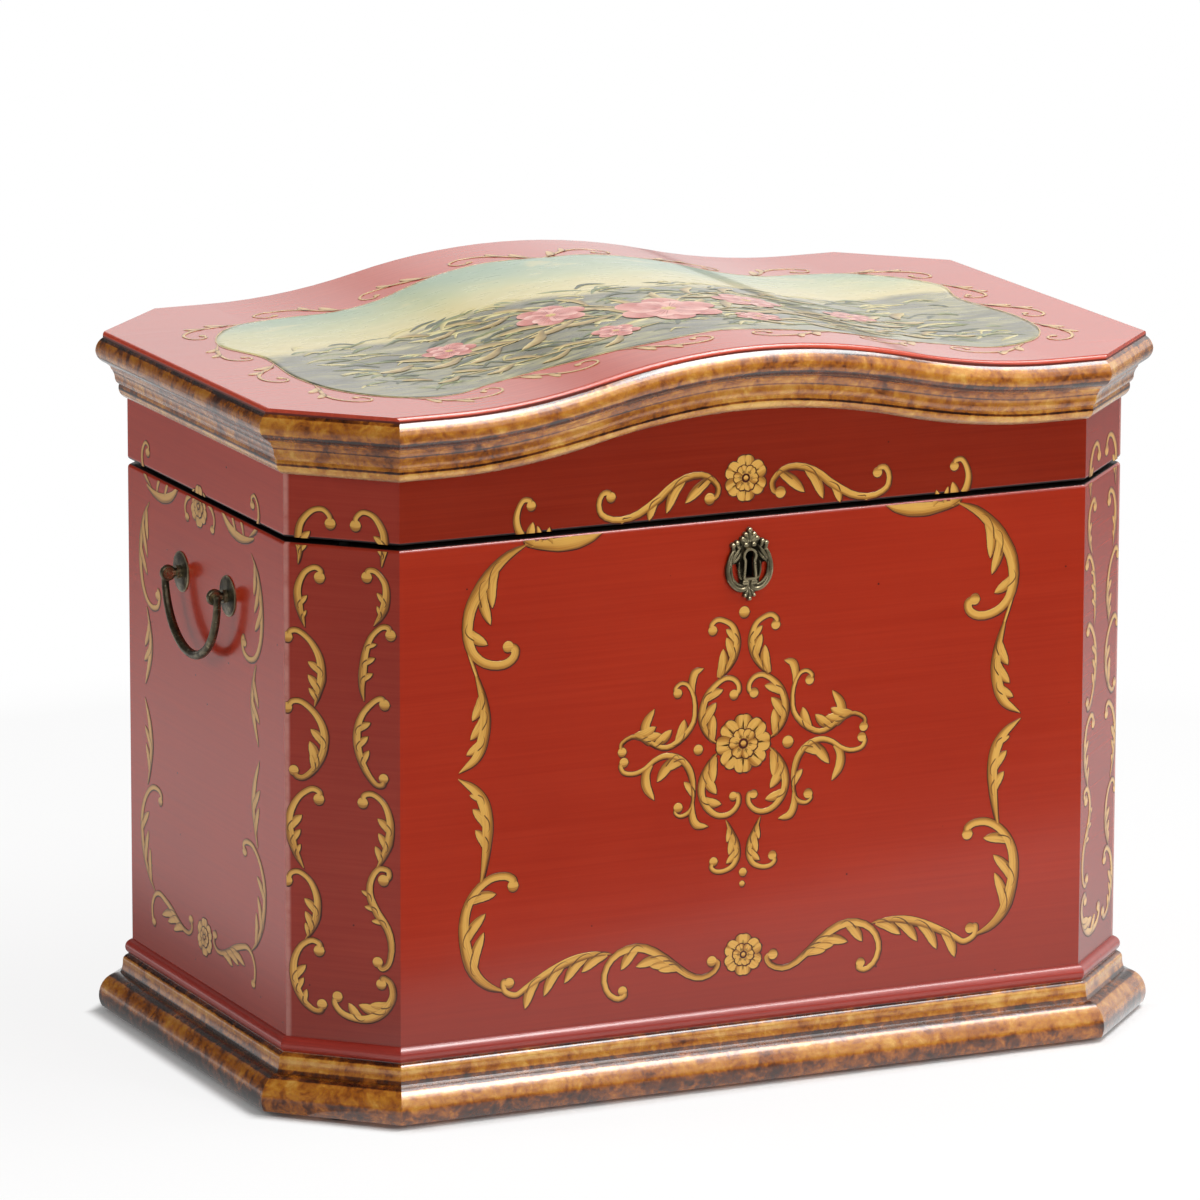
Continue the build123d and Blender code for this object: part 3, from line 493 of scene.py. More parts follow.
# Bands across the boards, each from its first edge to its full part and out again.
RIM_CHIPS_AND_HIGHLIGHT = (347.1, 347.6, 348.2, 348.5)
ARRIS_HIGHLIGHT = (-0.6, 0.4, 1.2, 3.0)
SEAM_SHADE = (348.0, 348.3, 352.4, 352.9)
LID_JOINT = (426.2, 427.0, 428.4, 429.2)


def inside_chest(add, x_size, y_size, height):
    """How far a point lies inward of the middle of the boards and below the lid's top."""
    return all_of(
        add,
        add("SMOOTHSTEP", x_size, 0.2750, 0.2745),
        add("SMOOTHSTEP", y_size, 0.1700, 0.1695),
        add("SMOOTHSTEP", add("ADD", x_size, y_size), 0.3960, 0.3952),
        add("SMOOTHSTEP", height, 0.4268, 0.4264),
    )


def in_keyhole(add, x_size, y, z):
    """How far a point lies in the keyhole's cut through the front board."""
    return all_of(
        add,
        add("SMOOTHSTEP", x_size, 0.0046, 0.0042),
        add("SMOOTHSTEP", y, -0.1750, -0.1746),
        add("LESS_THAN", y, -0.15),
        add("SMOOTHSTEP", add("ABSOLUTE", add("SUBTRACT", z, KEY_Z * MM)), 0.0100, 0.0095),
    )


def red_lacquer(name, grain, deep="#96240D", bright="#A42B10", coat=0.25):
    """Oil lacquer brushed on sealed board: even deep red with fine drag lines under a gloss coat. It shows a
    line of bare chips with a painted highlight along the front rim below the seam, painted shade in the seam
    and the keyhole, painted highlights down the edges where the ends meet the cants, painted shade towards
    the foot, and dark stained wood inside."""
    material, shader, add = new_material(name)
    place, (x, y, z), drag, colour = brushed_red(add, grain, deep, bright)
    x_size, y_size = add("ABSOLUTE", x), add("ABSOLUTE", y)
    height = below_crown(add, x, z)
    chips = add("TexNoise", {"Vector": place, "Scale": every(14.29), "Detail": 6.0, "Roughness": 0.75})
    # Pale line along the front rim below the seam: bare chips, and a painted highlight along the rim's edge.
    rim = all_of(add, within(add, z, RIM_CHIPS_AND_HIGHLIGHT), add("SMOOTHSTEP", y, -0.1735, -0.1748))
    chips_and_highlight = add("SMOOTHSTEP", blended(add, (rim, 1.0), (chips, 0.9)), 1.36, 1.5)
    colour = add("Mix", {0: chips_and_highlight, 6: colour, 7: "#F0E2DC"}, **COLOURS)
    # Painted highlight: a pale band down the edge where an end meets a cant, broken up by the chip noise.
    arris = all_of(
        add,
        within(add, add("SUBTRACT", y_size, CANT_START * MM), ARRIS_HIGHLIGHT),
        add("SMOOTHSTEP", x_size, 0.2760, 0.2772),
        add("SMOOTHSTEP", chips, 0.2, 0.6, 0.25, 0.6),
        add("LESS_THAN", z, 0.425),
    )
    colour = add("Mix", {0: arris, 6: colour, 7: "#D29A90"}, **COLOURS)
    # Painted shade: near black in the seam's gap and in the keyhole's cut. The lid's top is also darkened
    # along its edge where it meets the moulding.
    joint = add("MULTIPLY", within(add, height, LID_JOINT), 0.75)
    dark = add("MAXIMUM", within(add, z, SEAM_SHADE), joint)
    dark = add("MAXIMUM", dark, in_keyhole(add, x_size, y, z))
    colour = add("Mix", {0: dark, 6: colour, 7: "#120806"}, **COLOURS)
    # Painted shade: the red darkens towards the foot.
    foot = add("SMOOTHSTEP", z, 0.05, 0.12, 0.3, 0.0)
    colour = add("Mix", {0: foot, 6: colour, 7: "#5A1A10"}, **COLOURS)
    inside = inside_chest(add, x_size, y_size, height)
    stain = add("ValToRGB", drag, ramp=[(0.35, "#1E130D"), (0.65, "#33221A")])
    colour = add("Mix", {0: inside, 6: colour, 7: stain}, **COLOURS)
    matt = add("MAXIMUM", add("MAXIMUM", chips_and_highlight, dark), inside)
    relief = blended(add, (drag, 1.0), (chips_and_highlight, -1.5))
    feed(shader, {
        "Base Color": colour,
        "Roughness": add("MULTIPLY_ADD", matt, 0.35, add("MULTIPLY_ADD", drag, 0.14, 0.14)),
        "Normal": add("Bump", {"Height": relief, "Strength": 0.14, "Distance": 0.0003}),
        "Coat Weight": coat,
        "Coat Roughness": 0.05,
    })
    return material


# Heights on the two mouldings: where a band begins and ends, how soft its edges are, and how much darker it
# is. The darker bands are painted shade, in the creases and hollows of the profiles, under the lid's nose and
# low on the plinth's torus; the plinth's lighter band is a painted highlight along the ogee's top, and the
# lid's lighter band lightens its bead.
LID_MOULDING_TONES = [
    (411.8, 415.0, 1.0, 0.15), (406.6, 411.0, 0.4, 0.02), (405.6, 406.2, 0.3, 0.12),
    (395.2, 396.2, 0.5, 0.15), (391.5, 395.0, 0.4, -0.07), (426.2, 428.0, 0.6, 0.12),
]
PLINTH_TONES = [
    (0.0, 10.5, 3.5, 0.11), (22.8, 26.2, 0.8, 0.14), (34.8, 36.6, 0.5, 0.12), (31.0, 34.5, 1.0, -0.06),
]
TORTOISESHELL = [
    (0.30, "#280F05"), (0.38, "#5E2C0A"), (0.45, "#985414"), (0.53, "#BE7C28"), (0.64, "#DCAA54"),
]


def gilt_moulding(name):
    """Gold paint under a smoky tortoiseshell glaze, varnished: ochre and umber mottling, with painted shade
    in the hollows, low on the plinth and on the two ends, a painted highlight along the plinth's ogee, a
    painted floor reflection under the lid's bead, and the plinth's top bead picked out in red lacquer."""
    material, shader, add = new_material(name)
    place, (x, y, z), _, red = brushed_red(add, BEAD_GRAIN, "#8A1E10", "#A42A18")
    mottle = add("TexNoise", {
        "Vector": place, "Scale": every(9.09), "Detail": 7.0, "Roughness": 0.72, "Distortion": 0.5})
    smoke = add("TexNoise", {"Vector": place, "Scale": every(38.46), "Detail": 4.0, "Distortion": 0.6})
    grit = add("TexNoise", {"Vector": place, "Scale": every(2.381), "Detail": 3.0})
    tone = blended(add, (mottle, 0.55), (smoke, 0.35), (grit, 0.1))
    height = below_crown(add, x, z)
    on_lid = add("GREATER_THAN", z, 0.2)
    on_plinth = add("SUBTRACT", 1.0, on_lid)
    for where, level, tones in ((on_lid, height, LID_MOULDING_TONES), (on_plinth, z, PLINTH_TONES)):
        for low, high, soft, darker in tones:
            band = within(add, level, (low - soft, low, high, high + soft))
            tone = add("MULTIPLY_ADD", all_of(add, band, where), -darker, tone)
    # Painted shade: the two ends, past the mitres at the cants, are a little darker.
    past_cant = add("SUBTRACT", add("ABSOLUTE", y), CANT_START * MM)
    end_reach = add("MULTIPLY_ADD", past_cant, -MITRE_SLOPE, add("ABSOLUTE", x))
    on_end = add("SMOOTHSTEP", end_reach, WIDTH_HALF * MM - 0.0001, WIDTH_HALF * MM + 0.0003)
    tone = add("MULTIPLY_ADD", on_end, -0.055, tone)
    # Painted reflection of the floor: a pale band along the underside of the lid moulding's lowest bead.
    bead_reflection = all_of(add, add("SMOOTHSTEP", height, 0.3918, 0.3906), on_lid, 0.45)
    gold = add("Mix", {0: bead_reflection, 6: add("ValToRGB", tone, ramp=TORTOISESHELL), 7: "#B3A184"}, **COLOURS)
    bead = all_of(add, add("SMOOTHSTEP", z, BEAD_LOW * MM, (BEAD_LOW + 0.5) * MM), on_plinth)
    not_bead = add("SUBTRACT", 1.0, bead)
    feed(shader, {
        "Base Color": add("Mix", {0: bead, 6: gold, 7: red}, **COLOURS),
        "Metallic": all_of(add, not_bead, add("SMOOTHSTEP", tone, 0.40, 0.58, 0.0, 0.12)),
        "Roughness": add("MULTIPLY_ADD", bead, 0.25, add("SMOOTHSTEP", mottle, 0.3, 0.7, 0.34, 0.2)),
        "Normal": add("Bump", {"Height": mottle, "Strength": 0.16, "Distance": 0.0006}),
        "Coat Weight": 1.0,
        "Coat Roughness": 0.14,
    })
    return material


def gold_size_paint(name, light="#DAA74F", middle="#B67C2D", shade="#6B3D10", coat=0.3):
    """Ornament in gold bronze paint: pale where the brush was loaded, brown-gold along the outer edge and
    at roots. The piece's map tells how far a point lies to the outer edge (across) and to the root (up)."""
    material, shader, add = new_material(name)
    place, _, _ = place_on(add)
    across, up, _ = add("SeparateXYZ", add("TexCoord", out="UV"), out=None)
    hairs = add("CombineXYZ", add("MULTIPLY", across, HAIRS))
    drawn = add("VectorMath", place, (every(22.22),) * 3, hairs, operation="MULTIPLY_ADD")
    streak = add("TexNoise", {"Vector": drawn, "Scale": 1.0, "Detail": 3.0, "Roughness": 0.6})
    edge = add("SMOOTHSTEP", across, 0.45, 1.0)
    root = add("SMOOTHSTEP", up, 0.25, 1.0, 0.15, 1.0)
    depth = blended(add, (edge, 0.55), (root, 0.35), (add("SUBTRACT", streak, 0.5), 0.9))
    feed(shader, {
        "Base Color": add("ValToRGB", depth, ramp=[(0.08, light), (0.38, middle), (0.8, shade)]),
        "Metallic": 0.12,
        "Roughness": add("SMOOTHSTEP", streak, 0.3, 0.7, 0.42, 0.3),
        "Normal": add("Bump", {"Height": streak, "Strength": 0.15, "Distance": 0.0002}),
        "Coat Weight": coat,
    })
    return material


def umber_line(name):
    """Dark oil paint round the gold: a burnt umber line that thins to the red below it."""
    material, shader, add = new_material(name)
    thin = add("TexNoise", {"Vector": place_on(add)[0], "Scale": every(6.667), "Detail": 4.0})
    feed(shader, {
        "Base Color": add("ValToRGB", thin, ramp=[(0.3, "#360D04"), (0.7, "#571C0A")]),
        "Roughness": add("SMOOTHSTEP", thin, 0.3, 0.7, 0.4, 0.55),
        "Specular IOR Level": 0.3,
        "Coat Weight": 0.5,
    })
    return material


def brown_glaze(name):
    """Thin raw umber glaze drawn over the gold: parts lobes and petals, the gold still showing through."""
    material, shader, add = new_material(name)
    thin = add("TexNoise", {"Vector": place_on(add)[0], "Scale": every(4.167), "Detail": 4.0})
    feed(shader, {
        "Base Color": add("ValToRGB", thin, ramp=[(0.35, "#4E2A0C"), (0.65, "#7C5019")]),
        "Roughness": add("SMOOTHSTEP", thin, 0.3, 0.7, 0.32, 0.45),
        "Coat Weight": 0.3,
    })
    return material


SKY = [(0.0, "#D6C47E"), (0.4, "#BDBE86"), (1.0, "#8FA888")]
GROUND = [(0.38, "#4A462C"), (0.48, "#66613E"), (0.56, "#918A58"), (0.66, "#CABC84")]


def meadow_panel(name):
    """The lid's painted panel in varnished oils: a pale sky thinning to cream at the horizon, with soft
    clouds, over dark green banks of brushwork."""
    material, shader, add = new_material(name)
    place, drawn, (_, y, _) = place_on(add, (111, 33.33, 1000))
    hills = add("TexNoise", {"Vector": place, "Scale": every(125), "Detail": 3.0})
    dabs = add("TexNoise", {
        "Vector": drawn, "Scale": 1.6, "Detail": 8.0, "Roughness": 0.65, "Distortion": 0.8})
    fine = add("TexNoise", {"Vector": drawn, "Scale": 7.0, "Detail": 4.0})
    level = blended(add, (y, 1.0), (add("SUBTRACT", hills, 0.5), 0.12))
    cloud = add("MULTIPLY", add("SMOOTHSTEP", dabs, 0.54, 0.66), 0.55)
    clear_sky = add("ValToRGB", add("SMOOTHSTEP", level, 0.02, 0.13), ramp=SKY)
    sky = add("Mix", {0: cloud, 6: clear_sky, 7: "#D8CC92"}, **COLOURS)
    ground = add("ValToRGB", blended(add, (dabs, 0.7), (fine, 0.3)), ramp=GROUND)
    feed(shader, {
        "Base Color": add("Mix", {0: add("SMOOTHSTEP", level, 0.028, 0.012), 6: sky, 7: ground}, **COLOURS),
        "Roughness": add("SMOOTHSTEP", fine, 0.3, 0.7, 0.26, 0.36),
        "Normal": add("Bump", {"Height": dabs, "Strength": 0.12, "Distance": 0.0003}),
        "Coat Weight": 0.6,
        "Coat Roughness": 0.05,
    })
    return material


def brushed_colour(name, dark, middle, light):
    """Artist's oil on the lid panel: three tones along each leaf or petal, with a loaded-brush streak."""
    material, shader, add = new_material(name)
    across, up, _ = add("SeparateXYZ", add("TexCoord", out="UV"), out=None)
    streak = add("TexNoise", {"Vector": place_on(add)[0], "Scale": every(7.69), "Detail": 4.0})
    tone = blended(add, (across, 0.45), (up, 0.35), (streak, 0.3))
    feed(shader, {
        "Base Color": add("ValToRGB", tone, ramp=[(0.15, light), (0.5, middle), (0.9, dark)]),
        "Roughness": add("SMOOTHSTEP", streak, 0.3, 0.7, 0.28, 0.38),
        "Coat Weight": 0.35,
        "Coat Roughness": 0.06,
    })
    return material


BROWNED_BRASS = [(0.26, "#231D14"), (0.45, "#6E6550"), (0.66, "#A89C7C"), (0.86, "#D8C8A0")]


def antique_brass(name):
    """Cast brass, chemically browned and rubbed back: olive-brown in the lows, pale grey-gold where hands
    wear it and on the escutcheon's raised scrolls."""
    material, shader, add = new_material(name)
    place, _, (x, y, _) = place_on(add)
    patina = add("TexNoise", {"Vector": place, "Scale": every(5.263), "Detail": 6.0, "Roughness": 0.65})
    rubbed = add("SMOOTHSTEP", add("NewGeometry", out="Pointiness"), 0.49, 0.56)
    on_plate = add("LESS_THAN", add("ABSOLUTE", x), 0.03)
    raised = add("SMOOTHSTEP", y, -0.1762, -0.1778, -0.16, 0.3)
    tone = blended(add, (patina, 0.7), (rubbed, 0.3), (on_plate, raised))
    feed(shader, {
        "Base Color": add("ValToRGB", tone, ramp=BROWNED_BRASS),
        "Metallic": 0.8,
        "Roughness": add("SMOOTHSTEP", patina, 0.3, 0.7, 0.38, 0.24),
        "Normal": add("Bump", {"Height": patina, "Strength": 0.25, "Distance": 0.0003}),
    })
    return material


def turned_metal(name, dark, light, rough):
    """Plain hardware: rolled or turned metal with fine tool lines, slightly dulled by handling."""
    material, shader, add = new_material(name)
    place, drawn, _ = place_on(add, TOOL_LINES)
    lines = add("TexNoise", {"Vector": drawn, "Scale": 1.0, "Detail": 3.0})
    dull = add("TexNoise", {"Vector": place, "Scale": every(14.29), "Detail": 4.0})
    tone = blended(add, (lines, 0.4), (dull, 0.6))
    feed(shader, {
        "Base Color": add("ValToRGB", tone, ramp=[(0.35, dark), (0.65, light)]),
        "Metallic": 1.0,
        "Roughness": add("SMOOTHSTEP", tone, 0.3, 0.7, rough + 0.1, rough),
        "Normal": add("Bump", {"Height": lines, "Strength": 0.1, "Distance": 0.0001}),
    })
    return material


def stained_board(name):
    """Inside board: softwood stained near black-brown, long straight grain, open pores and no gloss coat."""
    material, shader, add = new_material(name)
    _, drawn, _ = place_on(add, BOARD_GRAIN)
    grain = add("TexNoise", {"Vector": drawn, "Scale": 1.0, "Detail": 6.0, "Distortion": 0.4})
    feed(shader, {
        "Base Color": add("ValToRGB", grain, ramp=[(0.35, "#1A110B"), (0.5, "#2B1C13"), (0.66, "#3D2A1C")]),
        "Roughness": add("SMOOTHSTEP", grain, 0.3, 0.7, 0.7, 0.55),
        "Normal": add("Bump", {"Height": grain, "Strength": 0.35, "Distance": 0.0005}),
    })
    return material


def pressed_felt(name):
    """Pressed wool felt: matt black with a tangle of fibre, drawn coarser than it is so that it shows."""
    material, shader, add = new_material(name)
    place, _, _ = place_on(add)
    fibre = add("TexNoise", {"Vector": place, "Scale": every(1.111), "Detail": 6.0, "Roughness": 0.8})
    feed(shader, {
        "Base Color": add("ValToRGB", fibre, ramp=[(0.3, "#050505"), (0.7, "#12110F")]),
        "Roughness": 0.95,
        "Specular IOR Level": 0.1,
        "Normal": add("Bump", {"Height": fibre, "Strength": 0.6, "Distance": 0.0006}),
    })
    return material


# Length of a grain or tool mark along X, Y and Z.
UPRIGHT_GRAIN = (111, 111, 1.613)
FLAT_GRAIN = (111, 2.083, 111)
BEAD_GRAIN = (167, 167, 1.111)
BOARD_GRAIN = (143, 6.25, 6.25)
TOOL_LINES = (0.3846, 16.7, 16.7)
HAIRS = 9.0  # brush hairs across a stroke

LACQUER = red_lacquer("brushed red lacquer", UPRIGHT_GRAIN)
# Painted light: the lid's top takes a lighter copy of the red lacquer, for the light from above.
LIT_TOP_LACQUER = red_lacquer("brushed red lacquer in painted light, lid panel", FLAT_GRAIN, "#B43A22", "#C84C32", 0.42)
# Painted shade: the front and back lid rails take a darker copy, for the shade under the moulding.
SHADED_RAILS_LACQUER = red_lacquer("brushed red lacquer in painted shade, lid rails", UPRIGHT_GRAIN, "#7A1C08", "#88250D", 0.1)
# Painted shade: the cants take a darker, more crimson copy, for the lesser light on them.
SHADED_CORNER_LACQUER = red_lacquer("brushed red lacquer in painted shade, canted corners", UPRIGHT_GRAIN, "#8B2414", "#992F1C")
GOLD = gold_size_paint("gold bronze paint")
PALE_GOLD = gold_size_paint("pale gold paint, lid border", "#E0BC84", "#CBA068", "#A47846")
# Painted light: the cants take a lighter, richer copy of the gold paint, matched to the light on them.
LIT_CORNER_GOLD = gold_size_paint("gold bronze paint as lit on the cants, under varnish", "#E2AC4E", "#BC7E28", "#764510", 1.0)
# Painted light: the ends take a duller copy of the gold paint with softer shading, matched to the light and
# reflections on them.
ENDS_LIT_GOLD = gold_size_paint("gold bronze paint as lit on the ends", "#D0A05A", "#B27C3A", "#6E4620")
GLAZE = brown_glaze("brown glaze line")
UMBER = umber_line("burnt umber line")
BRASS = antique_brass("antiqued cast brass")
FINISHES = {
    "red_lacquer": LACQUER,
    "gilt_moulding": gilt_moulding("tortoiseshell glazed gold"),
    "bare_board": stained_board("dark stained softwood"),
    "black_felt": pressed_felt("pressed black felt"),
    "antique_brass": BRASS,
    "hardware_brass": turned_metal("rolled brass", "#8C6E36", "#C9A560", 0.26),
    "lock_steel": turned_metal("brushed steel", "#6C6B68", "#A9A8A3", 0.3),
}


def finish_cad_nodes():
    """Each carried-over CAD node takes the finish of its own slot, and a lacquered one that of its own board:
    the lid's top a lighter copy as painted light, the front and back lid rails and the cants darker copies as
    painted shade."""
    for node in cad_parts.values():
        slot_name = node.data.materials[0].name.split(".")[0]
        finish = FINISHES[slot_name]
        if node.name == "lid_top":
            finish = LIT_TOP_LACQUER
        elif node.name in ("lid_front_rail", "lid_back_rail"):
            finish = SHADED_RAILS_LACQUER
        elif slot_name == "red_lacquer" and any(cant in node.name for cant in CANT_SIDES):
            finish = SHADED_CORNER_LACQUER
        for slot in node.material_slots:
            slot.material = finish


# ------------------------------------------------------------------ ornament of front, cants and ends

# Points are across and up on their face. A scroll has the radius of its ball, its half width, its line from
# ball to tail, the tips of its lobes and the radius of a ball at its tail. A free leaf has its half width,
# kind and line. A frond has its half width, its line from point to stalk and the tips of its lobes.
FRONT_SCROLLS = [
    # on the lid
    (2.7, 2.9, [(-91, 368.6), (-92.5, 371.4), (-96.5, 371), (-99, 365.5), (-97, 358.5), (-88, 354.5),
        (-75, 356), (-60, 364.5), (-50, 372.5), (-38, 377), (-28, 376), (-20.8, 369.5), (-21.5, 363.5),
        (-26, 362)], [(-84.5, 352.2), (-66, 352.4), (-54.5, 355.8), (-42, 360.8)], 3.0),
    (2.6, 2.7, [(-143, 368), (-144, 371.4), (-148.5, 371.4), (-152, 365), (-152.5, 358), (-149, 350),
        (-140, 343)], [], 0),
    # corner scrolls at the top
    (3.0, 4.6, [(-158, 284), (-153.5, 282), (-154.5, 277), (-160, 273.6), (-168, 273.6), (-176, 277),
        (-182, 284), (-184.5, 296), (-182.5, 309), (-176.5, 320), (-168, 331), (-158, 339.5),
        (-146, 345)], [(-171.5, 286.5), (-169.5, 298.5), (-168.3, 308.5)], 0),
    # corner scrolls at the bottom
    (3.1, 4.2, [(-154.8, 137.3), (-155, 141.3), (-160.5, 144), (-170, 143), (-179.5, 136), (-185.5, 125),
        (-187, 112), (-184.5, 97), (-179.5, 85), (-171, 77), (-160, 72.5)], [(-166, 133.5), (-173, 122),
        (-174, 110.5)], 0),
    # the bottom border
    (2.8, 3.0, [(-157.3, 77.5), (-161.2, 78.5), (-160, 72.5), (-153, 69.6), (-146, 73.5), (-136, 79),
        (-125, 84), (-114, 87.3), (-102, 89), (-90, 88)], [(-147, 60.5), (-134.5, 67), (-121, 73.5),
        (-109.5, 79)], 0),
    (2.6, 3.0, [(-82.5, 64), (-81, 61.2), (-86, 59.5), (-92.3, 64), (-95, 73), (-92, 82), (-85, 88),
        (-75, 90.3), (-65, 88), (-55, 81.8), (-46, 74.5), (-37, 68.3), (-29, 66.6), (-21.5, 69.5),
        (-19, 74.5), (-23, 76)], [(-83.5, 77.5), (-73.5, 78.3), (-64, 77.3), (-58.5, 74.3)], 2.8),
]
FRONT_LEAVES = [
    # cut by the seam
    (4.2, "leaf", [(-147, 345.2), (-136, 343.8), (-122, 343), (-108, 344.6), (-97, 347.6)]),
    (3.0, "lobe", [(-142, 343), (-143.5, 350), (-142, 358)]),
    (1.6, "lobe", [(-136, 345), (-137.5, 350), (-139, 355.5)]),
    (2.0, "lobe", [(-129, 344), (-131.5, 349), (-131, 354)]),
    # the upright leaves of each side
    (0.9, "thread", [(-185.5, 288), (-182, 278), (-178.5, 268), (-175.5, 258)]),
]
FRONT_FRONDS = [
    # the upright leaves of each side, from point to stalk
    (3.5, [(-190, 210), (-179, 218), (-174.5, 229), (-173, 241), (-174.5, 254), (-178.5, 268)],
        [(-181.2, 241), (-182.4, 229.5), (-185, 220.5)]),
    (3.5, [(-190.5, 206.5), (-180, 199), (-174, 190), (-171.5, 178), (-172, 164), (-173.5, 152),
        (-175.5, 141)], [(-179.2, 174), (-181, 187), (-183, 196)]),
]
MEDALLION_SCROLLS = [
    (2.6, 2.6, [(-23.5, 281), (-24.3, 284.4), (-21, 287.3), (-16.5, 286.8), (-10.5, 283), (-7.5, 276),
        (-7.6, 269), (-10.8, 261), (-15, 255), (-19, 251.6)], [(-14.5, 281), (-14.2, 275.8),
        (-16.3, 269)], 0),
    (2.6, 2.6, [(-9.2, 240.2), (-6, 242.2), (-6.3, 246.6), (-10, 250.3), (-15.5, 250.8), (-22, 247),
        (-27.5, 240.5), (-30.5, 230.5), (-28.8, 221), (-24.5, 214.5), (-19.5, 211)], [(-16.5, 244),
        (-21, 236.2), (-22.6, 228.8)], 0),
    (2.5, 2.0, [(-46.5, 244.6), (-48.2, 247.6), (-44.5, 250.6), (-39.8, 249.3), (-36.4, 243.5),
        (-35, 236), (-36, 226), (-42, 218), (-51, 212.5), (-58, 212.6), (-66, 217), (-72.5, 220.6),
        (-78.5, 220.6), (-83.8, 217), (-83.2, 212)], [(-42, 228), (-50.5, 222.5), (-57.5, 220.6),
        (-61, 225.4)], 2.5),
    (2.5, 2.3, [(-82, 205.6), (-84.3, 203.4), (-81.8, 199.2), (-75, 198), (-68, 200.4), (-61.5, 205),
        (-54, 207), (-45.5, 204.5), (-39.3, 198), (-36.4, 189), (-36, 180), (-37, 172)], [(-42, 189.5),
        (-56, 198.3), (-60, 191.5)], 0),
    (2.3, 2.7, [(-9.3, 177.4), (-6.2, 177.6), (-6, 172.5), (-9.6, 168), (-15, 166), (-21.5, 167.4),
        (-27.5, 173), (-30.6, 181.5), (-29.5, 191), (-25.5, 199), (-19.5, 206)], [(-17.3, 173.3),
        (-20.6, 180), (-22.6, 187)], 0),
    (2.4, 2.3, [(-22.2, 138), (-23.8, 134.6), (-20.6, 131.8), (-15, 131.6), (-9.2, 134.4), (-6.4, 140),
        (-7, 147), (-10.4, 155), (-14, 163)], [(-13.6, 136), (-11.8, 141.2), (-13.2, 149.3)], 0),
    (2.6, 1.5, [(-46, 174), (-48.2, 171.3), (-44.8, 168.6), (-39.5, 170), (-36.5, 174.5)], [], 0),
]
MEDALLION_LEAVES = [
    (2.5, "leaf", [(-36.2, 242), (-37, 250), (-35, 256.3), (-29.5, 258.4)]),
    (2.9, "lobe", [(-64.5, 215), (-68, 220), (-67.5, 228), (-62, 236.5)]),
    (2.9, "lobe", [(-64, 202.5), (-67.5, 197), (-67, 189), (-62, 180.5)]),
    (2.4, "leaf", [(-36.5, 178), (-36.6, 168), (-33.5, 162), (-26, 160.4)]),
]
CANT_SCROLLS = [
    (3.0, 2.6, [(-7, 361.5), (-7.4, 366), (-12, 370), (-19, 368.5), (-25.5, 361.5), (-27.5, 353),
        (-26.5, 343), (-27.5, 336)], [(-20, 356), (-22, 348)], 0),
    (3.0, 2.8, [(-14, 328.5), (-13.2, 332.6), (-17.5, 334.5), (-24, 330.5), (-28, 321), (-27, 310),
        (-23.5, 298)], [(-22, 317), (-22.5, 308)], 0),
    (2.8, 2.9, [(-34.5, 291), (-32.4, 295), (-27, 295), (-19.5, 289), (-14.2, 279.5), (-13, 268),
        (-15.2, 258), (-17.5, 250)], [(-21.5, 277), (-21.5, 269), (-21, 261)], 0),
    (2.8, 2.9, [(-35, 248), (-31.5, 252.3), (-25, 252), (-16.5, 245), (-11.5, 235), (-12, 223),
        (-17, 213), (-24, 206.5), (-29, 206.5), (-31, 210)], [(-20, 236), (-20.6, 228.5), (-20, 221)], 2.7),
    (3.0, 3.0, [(-15, 193.6), (-14.6, 198), (-20, 199.6), (-28, 194), (-33.5, 184), (-34, 174),
        (-30.5, 161), (-25, 150.5)], [(-26, 183), (-27, 174), (-27, 165)], 0),
    (2.8, 2.7, [(-35.4, 142), (-33, 147), (-27.5, 148), (-20.5, 142.5), (-16.4, 132.5), (-17, 121),
        (-20, 113), (-24, 107)], [(-24.5, 132), (-24, 124), (-24, 117)], 0),
    (3.0, 2.9, [(-15.3, 100.6), (-15, 104.8), (-20.5, 106.6), (-27.5, 102), (-31.8, 92), (-31, 80),
        (-26, 69.5), (-19.5, 64), (-14.5, 63.6), (-13.6, 67.6)], [(-24, 91), (-25.4, 83),
        (-23.5, 76)], 2.8),
    (3.0, 2.6, [(9, 361.5), (9.4, 366.4), (14, 370), (21, 367.5), (26.4, 359), (27.4, 350), (26, 343),
        (25.5, 338)], [(20.5, 356), (22.6, 349)], 0),
    (2.9, 2.8, [(16, 331), (17, 335), (22, 334.6), (27.4, 328), (28.2, 319), (25.5, 309.5), (20.5, 302)],
        [(22.5, 322), (22.5, 314)], 0),
    (2.9, 2.8, [(31, 297), (29.4, 301.4), (24.5, 301), (18.6, 295), (15, 285.5), (13.3, 274), (12.6, 264),
        (14, 256)], [(22, 291), (21, 282.5), (19.5, 273)], 0),
    (2.9, 2.9, [(27, 254.6), (25, 258.2), (19.5, 255.5), (12.4, 247), (9.4, 236), (10.6, 224),
        (15, 213.5), (21, 206), (25.6, 205.6), (26.3, 209.6)], [(18, 243), (16.4, 234.5), (17, 226)], 2.6),
    (2.9, 2.9, [(13, 193.8), (14, 198.6), (20, 199.4), (27, 193.6), (30.4, 183), (29.4, 171), (25.5, 161),
        (21.5, 154)], [(22.5, 185), (23, 176), (21, 168)], 0),
    (3.0, 2.9, [(26, 147.5), (29.6, 150), (28.6, 154), (22.5, 154), (17.8, 146.5), (17.4, 137), (22, 127),
        (28.4, 118), (31, 107.5), (29.4, 97), (25, 93.2), (22.2, 97)], [(12, 140), (14, 130.5),
        (18.5, 122)], 2.8),
    (2.8, 3.1, [(-3.6, 73.3), (-5.6, 69.6), (-1.5, 64), (7, 61), (17, 61.6), (26, 67), (31.6, 76),
        (30.5, 84.5), (25.6, 87.5), (24.4, 83.6)], [(3.5, 70), (10, 69.5), (17, 70)], 2.8),
]
